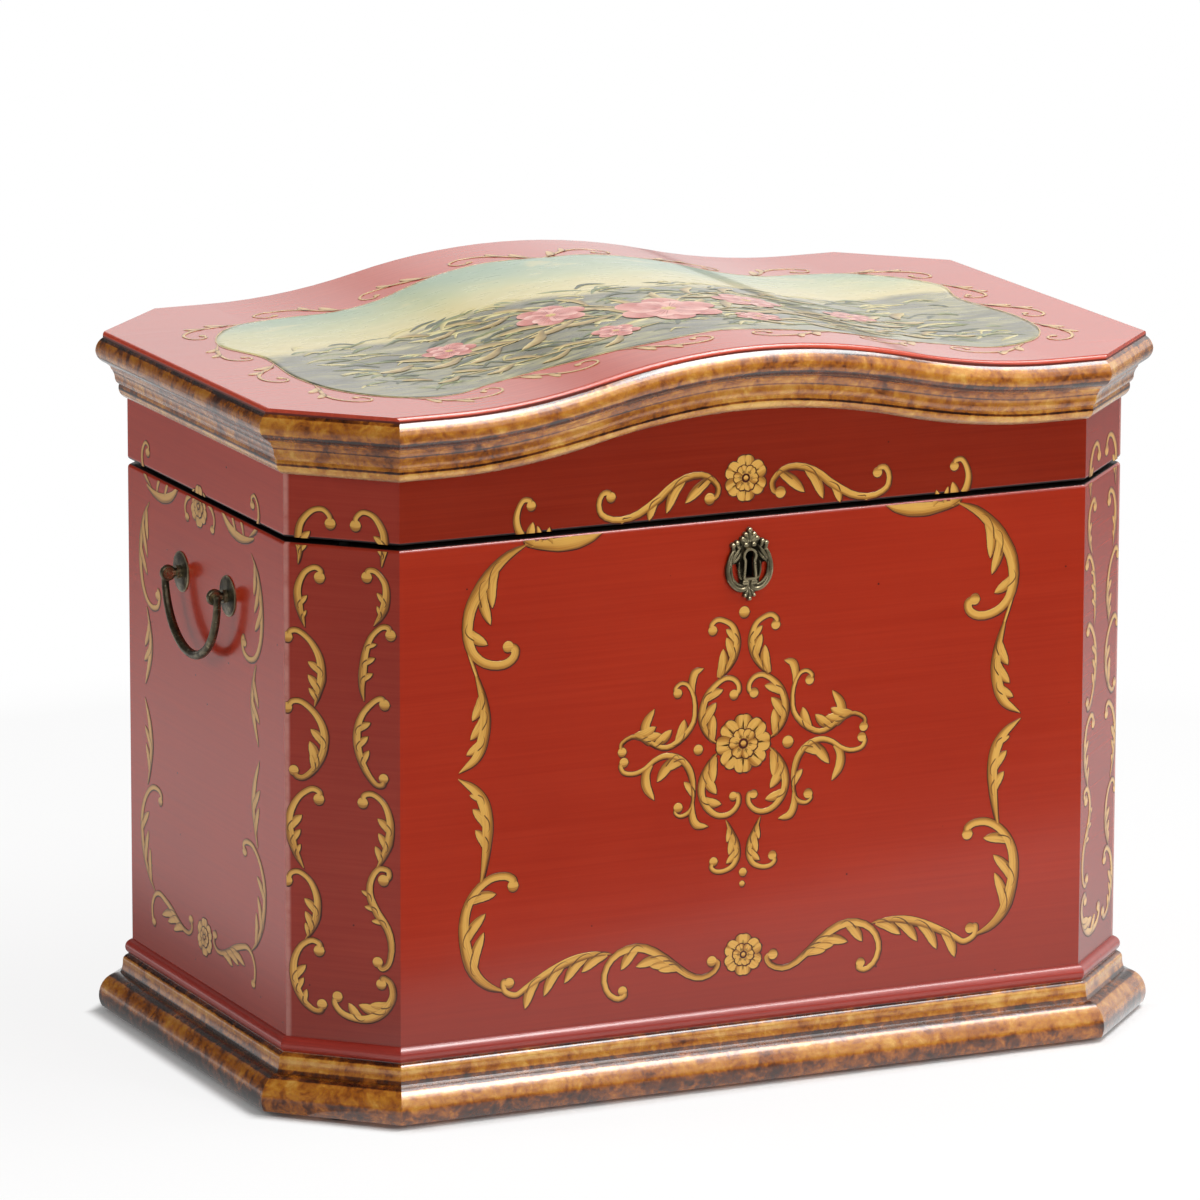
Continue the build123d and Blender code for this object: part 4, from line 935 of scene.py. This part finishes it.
SIDE_SCROLLS = [
    (2.8, 2.4, [(-90, 361.5), (-88.6, 365.6), (-93.5, 367.4), (-98.4, 362.5), (-99.4, 355), (-95, 347),
        (-85, 341)], [], 0),
    (2.6, 2.2, [(-27, 333.8), (-29.6, 336.4), (-30, 341), (-26, 346), (-18, 349)], [], 0),
    (2.8, 3.6, [(-76, 274.6), (-74.8, 278), (-72.4, 274.5), (-75.5, 268), (-84, 265.6), (-93, 268.5),
        (-100, 277), (-103.4, 290), (-102.4, 305), (-97.5, 320), (-88, 331)], [(-92.5, 285), (-92, 296),
        (-91.5, 306.5)], 0),
    (2.8, 3.4, [(-74.4, 145), (-72.6, 149), (-78, 152), (-88, 151), (-98, 143.5), (-104.4, 132),
        (-104.8, 118), (-100.6, 104), (-93, 93), (-84, 85.5)], [(-93.5, 134), (-94.5, 122), (-92, 111)], 0),
    (2.6, 2.9, [(-86.5, 65.6), (-89, 69.5), (-89, 77), (-84.5, 83.4), (-77, 86), (-67.5, 84), (-57, 80.6),
        (-47, 76), (-37.5, 72.8), (-29.4, 72.6), (-24.6, 76.6), (-26.2, 81.5)], [(-73, 73.5),
        (-63.5, 71.5), (-54, 68.5)], 2.8),
]
SIDE_LEAVES = [
    (3.6, "leaf", [(-92, 341), (-80, 338), (-66, 337.6), (-52, 341.6), (-40, 350)]),
    (1.9, "lobe", [(-76, 340), (-74, 345), (-70, 350)]),
    (1.9, "lobe", [(-64, 339), (-61, 344), (-57, 350)]),
]
SIDE_FRONDS = [
    (3.2, [(-97, 215), (-90, 230), (-87.4, 241), (-89, 252), (-93.5, 264)], [(-97, 239), (-98.5, 229.5)]),
    (3.2, [(-98, 206), (-91, 192), (-88, 178), (-90.5, 164), (-94.5, 152)], [(-97, 177), (-98.5, 188)]),
]
MIDDLE, SIDE_MIDDLE = -2.5, -7.0
SIDE_THIN = 0.8  # how much thinner the ends' strokes are
FRONT_DOTS = [
    (MIDDLE, 290.5, 3.5), (-32.7, 208.5, 3.1), (27.2, 207.5, 3.7), (MIDDLE, 129.5, 2.6), (-3, 122.3, 1.8),
]
# Place, radius of the outer and of the inner ring, and number of outer petals.
FRONT_FLOWERS = [(-2.2, 372.7, 14.4, 8.2, 6), (-2, 78, 13.2, 7.2, 6), (-2.8, 209.5, 18.4, 9.6, 8)]
SIDE_FLOWERS = [(-8, 344, 13, 7, 6), (-4, 76, 12, 6.5, 6)]


def drawn_from(scrolls, leaves=(), fronds=(), least_lean=LOBE_LEAN):
    """Strokes of a table of scrolls, a table of free leaves and a table of fronds."""
    made = []
    for ball, half_width, points, tips, end_ball in scrolls:
        made += scroll(ball, half_width, points, tips, end_ball, least_lean=least_lean)
    for half_width, points, tips in fronds:
        made += scroll(0, half_width, points, tips, kind="frond")
    made += [stroke(points, half_width, kind, shade=(0.7, 0.0)) for half_width, kind, points in leaves]
    return made


def lay_ornament(prefix, face, strokes, paint_for_gold):
    """A face's ornament, cut at the seam into case and lid, each as umber ground, gold and brown glaze
    lines."""
    for body, low, high in (("case", PAINT_FOOT, SEAM_LOW), ("lid", SEAM_HIGH, PAINT_HEAD)):
        kept = kept_between(strokes, low, high)
        gold, umber, glaze = ([s for s in kept if s["tone"] == tone] for tone in ("gold", "umber", "glaze"))
        layers = {
            "umber": (outlined(gold) + umber, UMBER),
            "gold": (gold, paint_for_gold),
            "glaze": (glaze, GLAZE),
        }
        for layer, (laid, material) in layers.items():
            piece = paint(f"{prefix}_{body}_{layer}", laid, face, material, body, low, high)


def paint_front():
    """Border, medallion, dots and flowers of the front."""
    strokes = drawn_from(FRONT_SCROLLS + MEDALLION_SCROLLS, FRONT_LEAVES + MEDALLION_LEAVES, FRONT_FRONDS)
    strokes = mirrored(strokes, MIDDLE)
    strokes += [dot(*place) for place in FRONT_DOTS]
    for place in FRONT_FLOWERS:
        strokes += flower(*place)
    lay_ornament("front_scrollwork", "front", strokes, GOLD)


def paint_cants():
    """The two chains of scrolls on each canted corner, turned over where the front lies to the corner's
    left."""
    chain = drawn_from(CANT_SCROLLS, least_lean=CANT_LEAN)
    swapped = turned_over(chain)
    for corner, (side_x, side_y) in CANT_SIDES.items():
        lay_ornament(corner + "_scrollwork", corner, chain if side_x == side_y else swapped, LIT_CORNER_GOLD)


def paint_sides():
    """Border and flowers of the two ends."""
    strokes = mirrored(drawn_from(SIDE_SCROLLS, SIDE_LEAVES, SIDE_FRONDS), SIDE_MIDDLE)
    strokes = [dict(s, half=SIDE_THIN * s["half"]) for s in strokes]
    for place in SIDE_FLOWERS:
        strokes += flower(*place)
    lay_ornament("left_scrollwork", "left", strokes, ENDS_LIT_GOLD)
    lay_ornament("right_scrollwork", "right", turned_over(strokes), ENDS_LIT_GOLD)


# ------------------------------------------------------------------ the lid's painted panel

# The right half of the panel's edge, from the middle at the back to the middle at the front.
PANEL_HALF = [
    (0, 124), (40, 130), (80, 124), (116, 113), (146, 112), (177, 121), (207, 116), (232, 92), (246, 54),
    (236, 10), (242, -50), (236, -96), (214, -130), (180, -142), (150, -132), (120, -130), (84, -138),
    (42, -142), (0, -136),
]
PANEL_TURNS, PANEL_RINGS = 240, 60  # points along the edge, and copies of it
PANEL_CENTRE = 0.002  # size of the innermost copy, as a share of the edge
PANEL_FILM, PANEL_BACK = 0.12, 0.03  # heights of the film's face and back over the lid

BORDER_SCROLLS, BORDER_STEPS = 10, 400
BORDER_LIFT, BORDER_LINE = 0.1, 0.45
BORDER_RUN = np.linspace(-0.03, 1.03, 9)  # places along a scroll's share of the line, a little past its ends
BORDER_BALL, BORDER_BAND, CURL_STEP = 1.9, 1.5, 62.0  # the curl is drawn for scrolls this far apart
BORDER_CURL = [(38, 9), (41.5, 6), (46.5, 8.5), (47, 15), (41, 20), (32, 19.5), (22, 14), (12, 6), (0, 0)]
BORDER_TIPS = [(26, 24), (15, 17)]


def panel_outline():
    """The panel's shaped edge as a closed smooth line: the right half and its mirror."""
    left = [(-x, y) for x, y in PANEL_HALF[-2:0:-1]]
    return smooth_line(PANEL_HALF + left + PANEL_HALF[:1], PANEL_TURNS + 1)[:-1]


def lay_panel():
    """The painted panel: shrinking copies of its edge, carried up by the crown, closed below as a thin
    film."""
    outwards, inwards = np.linspace(PANEL_CENTRE, 1, PANEL_RINGS), np.linspace(1, PANEL_CENTRE, PANEL_RINGS)
    share = np.concatenate([outwards, [1.0], inwards])
    lift = np.concatenate([np.full(PANEL_RINGS, PANEL_FILM), np.full(PANEL_RINGS + 1, PANEL_BACK)])
    flat = share[:, None, None] * panel_outline()[None]
    height = LID_TOP + lift[:, None] + crown_height(flat[..., 0])
    points = np.concatenate([flat, height[..., None]], axis=-1).reshape(-1, 3)
    faces = grid_faces(len(share), PANEL_TURNS)[:, ::-1].tolist()
    faces.append(list(range(PANEL_TURNS)))
    faces.append([(len(share) - 1) * PANEL_TURNS + i for i in reversed(range(PANEL_TURNS))])
    piece = build_mesh("lid_painted_panel", points, faces)
    piece.data.materials.append(meadow_panel("oil painted meadow panel"))
    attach(piece, "lid")


def along_edge(line, start, points):
    """Points given as distance along the panel's edge and away from it, laid on the bent edge."""
    length = np.concatenate([[0], np.cumsum(np.linalg.norm(np.diff(line, axis=0), axis=1))])
    way = np.gradient(line, axis=0)
    way /= np.linalg.norm(way, axis=1, keepdims=True)
    along, away = np.array(points, float).T
    at = [np.interp(start + along, length, column) for column in (*line.T, *way.T)]
    return np.stack([at[0] - away * at[3], at[1] + away * at[2]], axis=1)


def lay_panel_scrolls():
    """A fine gold line round the panel, with leafy scrolls that spring from it one after another."""
    line = smooth_line(PANEL_HALF, BORDER_STEPS)
    step = np.linalg.norm(np.diff(line, axis=0), axis=1).sum() / BORDER_SCROLLS
    strokes = []
    for start in np.arange(BORDER_SCROLLS) * step:
        run = along_edge(line, start, [(share * step, 0) for share in BORDER_RUN])
        strokes.append(stroke(run, BORDER_LINE, "thread"))
        stretch = (step / CURL_STEP, 1)
        curl, tips = (along_edge(line, start, np.array(p) * stretch) for p in (BORDER_CURL, BORDER_TIPS))
        strokes += scroll(BORDER_BALL, BORDER_BAND, curl.tolist(), tips.tolist())
    strokes = [dict(s, lift=s["lift"] + BORDER_LIFT) for s in mirrored(strokes, 0)]
    for tone, material in (("gold", PALE_GOLD), ("glaze", GLAZE)):
        laid = [s for s in strokes if s["tone"] == tone]
        paint("lid_panel_border_" + tone, laid, "top", material, "lid")


PANEL_REACH, PANEL_WAIST, PANEL_MARGIN = 232.0, 20.0, 12.0


def inside_panel(u, v):
    """Whether a point lies well inside the panel's edge, within its margin."""
    edge = panel_outline()
    edge = edge[edge[:, 0] > 0]
    edge = edge[np.argsort(edge[:, 0])]
    back, front = edge[edge[:, 1] > PANEL_WAIST], edge[edge[:, 1] < -PANEL_WAIST]
    high, low = (np.interp(abs(u), *part.T) for part in (back, front))
    return abs(u) < PANEL_REACH - PANEL_MARGIN and low + PANEL_MARGIN < v < high - PANEL_MARGIN


# The meadow's blades: how many, the seed of the draws, how far back a tip may reach, each tone's share, and
# the range of each measure. Lean, rise and bend are shares of the length.
BLADES, MEADOW_SEED, BLADE_HEAD = 520, 7, 34.0
BLADE_TONES = {"deep": 0.34, "olive": 0.36, "straw": 0.30}
BLADE_RANGES = {
    "across": (-232, 232), "up": (-134, 26), "lean": (0.3, 1.0), "length": (16, 44), "rise": (0.1, 0.42),
    "bend": (0.16, 0.36), "half_width": (0.8, 2.3),
}
BLADE_BEND = 0.45  # where a blade bends, as a share of its lean
BLADE_LAYER, BLADE_RISE = 0.0004, 0.04
MEADOW_SPRAYS = [
    # root, stem, leaves, leaf length, half width
    ((10, -78), [(60, -60), (118, -66), (176, -40)], 12, 34, 4.0),
    ((-10, -78), [(-56, -52), (-110, -62), (-178, -52)], 12, 34, 4.0),
    ((0, -70), [(24, -28), (66, -4), (120, 10)], 9, 28, 3.0),
    ((-8, -66), [(-40, -24), (-86, -6), (-140, 6)], 9, 28, 3.0),
    ((20, -96), [(70, -108), (126, -104), (182, -96)], 9, 24, 2.8),
    ((-20, -96), [(-72, -110), (-128, -102), (-184, -98)], 9, 24, 2.8),
]
SPRAY_LIFT, SPRAY_OVER, SPRAY_LAYER, SPRAY_RISE = 0.36, 0.02, 0.002, 0.05
STEM_WIDTH, STEM_STRIDE, STEM_BARE = 0.9, 5, 3  # half width, steps between points, and steps bare of leaves
LEAF_FULL, LEAF_LOSS = 1.15, 0.5  # a leaf's length at the root, and what it loses up to the tip
# Where a leaf bends and ends, along the stem and away from it, as shares of its length.
LEAF_BEND, LEAF_TIP = (0.45, 0.42), (1.0, 0.55)
# Place, radius and turn of each blossom.
MEADOW_BLOSSOMS = [
    (0, -62, 34, 0.3), (66, -34, 22, 0.8), (-64, -30, 23, 0.1), (132, -44, 17, 0.5), (-136, -40, 17, 0.9),
    (44, -96, 15, 0.2), (-52, -98, 15, 0.6),
]
BLOSSOM_PETALS = 6
# A blossom's two rings: their piece, turn in petals, reach and half width as shares of the radius, and
# height.
BLOSSOM_RINGS = [("blossoms", 0.0, 1.0, 0.36, 0.44), ("blossom_hearts", 0.5, 0.72, 0.27, 0.5)]
BLOSSOM_ROOT, BLOSSOM_LAYER, BLOSSOM_RISE = 0.05, 0.004, 0.03
VEIN_SWINGS, VEIN_START, VEIN_END, VEIN_WIDTH = (-0.24, -0.08, 0.08, 0.24), 0.3, 0.86, 0.34
VEIN_OVER, VEIN_RISE = 0.045, 0.02
SEED_RING, SEED_RADIUS, SEED_LIFT, SEED_RISE = 0.1, 0.05, 0.56, 0.05
MEADOW_COLOURS = {
    "deep": ("#353C26", "#4A5132", "#6E7646"),
    "olive": ("#48573A", "#7F8852", "#B8B26E"),
    "straw": ("#8A7A3C", "#D2C27A", "#F4E8B0"),
    "sprays": ("#5A4A22", "#B0904A", "#E8D490"),
    "blossoms": ("#A8423A", "#CE7466", "#E8A494"),
    "blossom_hearts": ("#C05A4E", "#E0968A", "#F6CCBC"),
    "blossom_veins": ("#8E3A32", "#B45A4E", "#CE8074"),
    "blossom_seeds": ("#8A6A20", "#C9A040", "#F0D880"),
}


def draw_blades(strokes):
    """Blades and tufts: each leans to one side of its root and rises to its tip, each over the one
    before."""
    draw = np.random.default_rng(MEADOW_SEED)

    def drawn(measure):
        return draw.uniform(*BLADE_RANGES[measure])

    for number in range(BLADES):
        root = np.array([drawn("across"), drawn("up")])
        lean = draw.choice((-1, 1)) * drawn("lean")
        length = drawn("length")
        tip = root + (lean * length, length * drawn("rise"))
        bend = root + (lean * BLADE_BEND * length, length * drawn("bend"))
        tone = list(BLADE_TONES)[int(draw.choice(len(BLADE_TONES), p=list(BLADE_TONES.values())))]
        half_width = drawn("half_width")
        if inside_panel(*root) and inside_panel(*tip) and tip[1] < BLADE_HEAD:
            over = PANEL_FILM + BLADE_LAYER * number
            strokes[tone].append(stroke([root, bend, tip], half_width, "leaf", over, BLADE_RISE, (0.9, 0.0)))


def leaf_spray(root, stem, leaves, length, half_width):
    """A bent stem with pointed leaves to either side that grow shorter towards its tip."""
    line = smooth_line([root, *stem], STEPS)
    made = [stroke(line[::STEM_STRIDE], STEM_WIDTH, "thread", lift=SPRAY_LIFT, rise=SPRAY_RISE)]
    for number, place in enumerate(np.linspace(STEM_BARE, STEPS - STEM_BARE, leaves).astype(int)):
        way = line[place] - line[place - 1]
        way = way / np.linalg.norm(way)
        away = np.array([-way[1], way[0]]) * (1 if number % 2 else -1)
        size = length * (LEAF_FULL - LEAF_LOSS * place / STEPS)
        bend, tip = (line[place] + size * (a * way + b * away) for a, b in (LEAF_BEND, LEAF_TIP))
        over = SPRAY_LIFT + SPRAY_OVER + SPRAY_LAYER * number
        made.append(stroke([line[place], bend, tip], half_width, "leaf", over, SPRAY_RISE, (0.8, 0.0)))
    return made


def draw_blossoms(strokes):
    """Simple round blossoms: two rings of petals, fine veins on each petal, and a ring of seeds round one
    more."""
    for u, v, radius, first in MEADOW_BLOSSOMS:
        centre = np.array([u, v], float)
        for name, turn, reach, width, lift in BLOSSOM_RINGS:
            for number in range(BLOSSOM_PETALS):
                angle = first + (number + turn) * math.tau / BLOSSOM_PETALS
                petal = ray(centre, angle, BLOSSOM_ROOT * radius, reach * radius)
                over = lift + BLOSSOM_LAYER * (number % 3)
                strokes[name].append(stroke(petal, radius * width, "petal", over, BLOSSOM_RISE, (1.0, 0.0)))
                for swing in VEIN_SWINGS:
                    vein = ray(centre, angle + swing, VEIN_START * reach * radius, VEIN_END * reach * radius)
                    made = stroke(vein, VEIN_WIDTH, "crease", lift + VEIN_OVER, VEIN_RISE, (0.8, 0.2))
                    strokes["blossom_veins"].append(made)
        seeds = [centre] + [
            ray(centre, number * math.tau / BLOSSOM_PETALS, 0, SEED_RING * radius)[1]
            for number in range(1, BLOSSOM_PETALS + 1)
        ]
        strokes["blossom_seeds"] += [
            dot(*place, SEED_RADIUS * radius, lift=SEED_LIFT, rise=SEED_RISE) for place in seeds]


def lay_meadow():
    """Brushwork on the panel: banks of blades and tufts, leafy sprays and simple blossoms."""
    strokes = {name: [] for name in MEADOW_COLOURS}
    draw_blades(strokes)
    for spray in MEADOW_SPRAYS:
        strokes["sprays"] += leaf_spray(*spray)
    draw_blossoms(strokes)
    for name, colours in MEADOW_COLOURS.items():
        material = brushed_colour("oil paint, " + name, *colours)
        paint("lid_meadow_" + name, strokes[name], "top", material, "lid")


# ------------------------------------------------------------------ cast relief of the escutcheon

# Half width, kind and line of each raised scroll or leaf on the plate's right half, from the keyhole's
# middle.
RELIEF_BANDS = [
    # the bow, from its shoulder round to the ball below the keyhole
    (1.7, "thread", [(10.6, 9.5), (12.6, 5), (14.0, 0), (14.2, -5), (12.6, -10), (9.2, -14), (5.2, -15.6),
        (2.0, -14.6), (1.3, -12.2), (2.6, -10.9)]),
    (0.9, "thread", [(12.2, 1.5), (12.2, -3), (11.4, -7.5), (8.6, -11.2), (5.4, -12.8), (3.6, -12.6)]),
    # leaves that slant from the crest to the bow
    (1.2, "leaf", [(5.4, 11.4), (7.6, 8.6), (10, 5.2), (12.2, 1.2)]),
    (1.0, "leaf", [(5.6, 7.6), (7.4, 4.8), (9.6, 2.6), (12.0, 1.0)]),
    (0.8, "thread", [(6.8, 1.6), (7.2, -3), (6.4, -7.5), (4.6, -9.6)]),
    # shoulder and crest leaves
    (1.3, "leaf", [(9.6, 7.5), (10.8, 10), (11.1, 12.6)]),
    (1.2, "leaf", [(7.0, 9.5), (7.9, 11.8), (8.5, 14)]),
    (1.4, "leaf", [(0.8, 12.8), (3.0, 14.4), (5.0, 15.7)]),
    (1.3, "leaf", [(0.5, 13.2), (1.9, 16), (3.0, 18.4)]),
    # tail leaves
    (1.2, "leaf", [(0.8, -15.2), (2.0, -17.4), (3.2, -19.4)]),
]
RELIEF_MIDDLE = [
    (1.4, "leaf", [(0, 12.6), (0, 17), (0, 21.2)]),
    (1.1, "leaf", [(0, -15), (0, -18.5), (0, -21.6)]),
]
# Place and radius of each bead.
RELIEF_BEADS = [
    (2.8, 18.2, 1.5), (4.7, 15.6, 1.6), (8.4, 13.6, 1.4), (11.0, 12.2, 1.5),
    (2.6, 11.9, 1.6), (2.9, -10.9, 2.1), (2.9, -19.2, 1.2),
]
RELIEF_MIDDLE_BEADS = [(0, 20.9, 1.6), (0, -21.2, 1.3)]
RELIEF_START, RELIEF_RISE, BEAD_RISE = 1.5, 1.2, 1.5  # where it begins off the board, and how far it rises


def raised_on_plate(bands, beads):
    """Scrolls, leaves and beads in relief."""
    made = [stroke(points, half_width, kind, RELIEF_START, RELIEF_RISE) for half_width, kind, points in bands]
    return made + [dot(u, v, radius, lift=RELIEF_START, rise=BEAD_RISE) for u, v, radius in beads]


def cast_escutcheon_relief():
    """Raised scrolls, leaves and beads cast on the keyhole plate, the same on both sides."""
    raised = mirrored(raised_on_plate(RELIEF_BANDS, RELIEF_BEADS), 0)
    raised += raised_on_plate(RELIEF_MIDDLE, RELIEF_MIDDLE_BEADS)
    placed = [dict(s, line=s["line"] + (0, KEY_Z)) for s in raised]
    piece = paint("escutcheon_relief", placed, "front", BRASS, "case", cast=True)


# ------------------------------------------------------------------ room, light and camera

ROOM_LEVEL = 0.36  # the room's light on matt surfaces
DARK_ROOM = 0.05  # what gloss sees in front
PAPER_SIZE, PAPER_DROP = 60.0, 0.0002
# The paper glows for the eye far off and clear of the foot, where its shadow ends. Gloss sees its front end
# fade out, and its level behind, in front, in front to the left, and far off.
PAPER_FRONT, PAPER_END = -0.42, -0.52
PAPER_TO_EYE, PAPER_FAR_GLOSS = 0.85, 0.4
PAPER_BEHIND_GLOSS, PAPER_FRONT_GLOSS, PAPER_LEFT_GLOSS = 0.78, 0.95, 0.42
FOOT_X, FOOT_Y, FOOT_DIAGONAL, FOOT_FADE = 0.2997, 0.1947, 0.4309, 0.012
LAMPS = [
    # name, place, aim, width and depth, watts, whether matt surfaces and whether gloss see it
    ("overhead softbox", (0.72, -0.5, 1.95), (0.05, -0.15, 0.4), (1.3, 0.8), 27, True, True),
    ("front softbox", (0.9, -2.5, 1.4), (0, 0, 0.2), (1.2, 1.0), 32, True, False),
    ("side fill", (-2.2, 1.2, 1.0), (0, 0, 0.2), (1.2, 1.2), 18, True, False),
    ("highlight card", (0.465, -0.85, 2.0), (0.465, -0.85, 0.0), (0.73, 2.6), 35, False, True),
    ("dim highlight card", (1.14, -0.85, 2.0), (1.14, -0.85, 0.0), (0.62, 2.6), 9, False, True),
]


def paper_in_gloss(add, x, y, distance):
    """How bright gloss sees the paper: lit behind the chest and beside it, dimmer to the left, far off and
    at the chest's left foot, and ending in front along a line that slants with x."""
    leftwards = add("MULTIPLY", add("MAXIMUM", add("SUBTRACT", -0.4, x), 0.0), 0.7)
    slanted = add("MULTIPLY", add("MAXIMUM", add("ADD", x, 0.06), -0.2), 0.34)
    frontness = add("ADD", add("ADD", y, leftwards), slanted)
    front_level = add("SMOOTHSTEP", x, -0.45, -0.35, PAPER_LEFT_GLOSS, PAPER_FRONT_GLOSS)
    front_level = add("MULTIPLY", front_level, add("SMOOTHSTEP", y, 0.1, -0.15))
    behind_level = add("SMOOTHSTEP", y, -0.15, 0.1, 0.0, PAPER_BEHIND_GLOSS)
    foot_shade = all_of(
        add,
        add("SMOOTHSTEP", x, -0.44, -0.34),
        add("LESS_THAN", x, -0.28),
        add("SMOOTHSTEP", y, -0.25, -0.15, 0.0, 0.7),
    )
    return all_of(
        add,
        add("SMOOTHSTEP", frontness, PAPER_FRONT, PAPER_END, 1.0, DARK_ROOM),
        add("SMOOTHSTEP", distance, 0.8, 2.0, 1.0, PAPER_FAR_GLOSS),
        add("ADD", front_level, behind_level),
        add("SUBTRACT", 1.0, foot_shade),
    )


def white_paper():
    """Matt white studio paper. To the eye it is near white and keeps the shadow. Gloss sees it end in
    front, where the room is dark."""
    material, shader, add = new_material("white studio paper")
    place, _, (x, y, _) = place_on(add)
    tooth = add("TexNoise", {"Vector": place, "Scale": every(2.5), "Detail": 3.0})
    feed(shader, {
        "Base Color": add("ValToRGB", tooth, ramp=[(0.3, "#F4F4F3"), (0.7, "#FAFAFA")]),
        "Roughness": 0.9,
        "Specular IOR Level": 0.0,
    })
    path = add("LightPath", out=None)
    camera = path["Is Camera Ray"]
    glossy = add("MAXIMUM", path["Is Glossy Ray"], path["Is Transmission Ray"])
    distance = add("VectorMath", place, operation="LENGTH", out="Value")
    x_size, y_size = add("ABSOLUTE", x), add("ABSOLUTE", y)
    edges = ((x_size, FOOT_X), (y_size, FOOT_Y), (add("ADD", x_size, y_size), FOOT_DIAGONAL))
    clear = [add("SMOOTHSTEP", value, edge, edge + FOOT_FADE) for value, edge in edges]
    clear = add("MULTIPLY", reduce(partial(add, "MAXIMUM"), clear), PAPER_TO_EYE)
    to_eye = add("MULTIPLY", camera, add("MAXIMUM", add("SMOOTHSTEP", distance, 0.5, 1.0), clear))
    seen = add("MAXIMUM", camera, paper_in_gloss(add, x, y, distance))
    glow = add("Emission", {"Color": (1, 1, 1, 1), "Strength": seen})
    mixed = add("MixShader", add("MAXIMUM", to_eye, glossy), shader.outputs[0], glow)
    feed(material.node_tree.nodes["Material Output"], {"Surface": mixed})
    return material


def build_stage():
    """A plain pale floor, and a room that is white to the eye. Gloss sees it bright low down behind, dimmer
    above and to the left, and dark in front but for a band of sheen."""
    bpy.ops.mesh.primitive_plane_add(size=PAPER_SIZE, location=(0, 0, -PAPER_DROP))
    floor = bpy.context.object
    floor.name = "studio_floor"
    floor.data.materials.append(white_paper())
    world = bpy.data.worlds.new("studio white")
    world.use_nodes = True
    bpy.context.scene.world = world
    add = partial(add_node, world.node_tree)
    path = add("LightPath", out=None)
    across, back, up = add("SeparateXYZ", add("TexCoord", out="Generated"), out=None)
    top_edge = add("SMOOTHSTEP", across, -0.15, 0.2, 0.04, 0.3)
    behind = all_of(
        add,
        add("SMOOTHSTEP", back, -0.3, 0.1, DARK_ROOM, 1.0),
        add("SMOOTHSTEP", add("SUBTRACT", up, top_edge), 0.0, 0.14, 1.0, 0.12),
        add("SMOOTHSTEP", across, -0.3, -0.1, 0.12, 1.0),
    )
    front_sheen = all_of(
        add,
        add("SMOOTHSTEP", up, 0.12, 0.25),
        add("SMOOTHSTEP", up, 0.8, 0.65),
        add("SMOOTHSTEP", back, -0.35, -0.6),
    )
    glossy = add("MAXIMUM", path["Is Glossy Ray"], path["Is Transmission Ray"])
    in_gloss = add("MULTIPLY", glossy, add("MAXIMUM", behind, front_sheen))
    seen = add("MAXIMUM", path["Is Camera Ray"], in_gloss)
    spread = add("MULTIPLY", path["Is Diffuse Ray"], ROOM_LEVEL)
    strength = add("MAXIMUM", seen, spread)
    feed(world.node_tree.nodes["Background"], {"Color": (1, 1, 1, 1), "Strength": strength})


def hang_lamps():
    """Studio light: a wide box overhead, a box in front and a fill from the side that only matt surfaces
    see, and two highlight cards that only gloss sees."""
    for name, place, aim, size, watts, in_matt, in_gloss in LAMPS:
        data = bpy.data.lights.new(name, "AREA")
        data.shape, data.energy = "RECTANGLE", watts
        data.size, data.size_y = size
        lamp = bpy.data.objects.new(name, data)
        bpy.context.scene.collection.objects.link(lamp)
        lamp.location = place
        lamp.visible_diffuse, lamp.visible_glossy = in_matt, in_gloss
        lamp.rotation_euler = (Vector(aim) - Vector(place)).to_track_quat("-Z", "Y").to_euler()


CAMERA_PLACE = (-2.2150, -4.7239, 1.4440)
CAMERA_YAW, CAMERA_PITCH, CAMERA_ROLL = -0.4355811, 1.3479106, 0.0025012
FILM_WIDTH, FOCAL_PIXELS, FRAME_PIXELS = 36.0, 8650.56, 1200.0
CLIP_END = 100.0


def set_camera():
    """A long lens from the front left, slightly above the lid."""
    data = bpy.data.cameras.new("studio_camera")
    data.sensor_width = FILM_WIDTH
    data.lens = FOCAL_PIXELS / FRAME_PIXELS * FILM_WIDTH
    data.clip_end = CLIP_END
    camera = bpy.data.objects.new("studio_camera", data)
    bpy.context.scene.collection.objects.link(camera)
    turns = (("Z", CAMERA_YAW), ("X", CAMERA_PITCH), ("Z", CAMERA_ROLL))
    yaw, pitch, roll = (Matrix.Rotation(angle, 4, axis) for axis, angle in turns)
    camera.matrix_world = Matrix.Translation(CAMERA_PLACE) @ yaw @ pitch @ roll
    bpy.context.scene.camera = camera


finish_cad_nodes()
paint_front()
paint_cants()
paint_sides()
lay_panel()
lay_panel_scrolls()
lay_meadow()
cast_escutcheon_relief()
build_stage()
hang_lamps()
set_camera()
bpy.context.scene.view_settings.view_transform = "Standard"
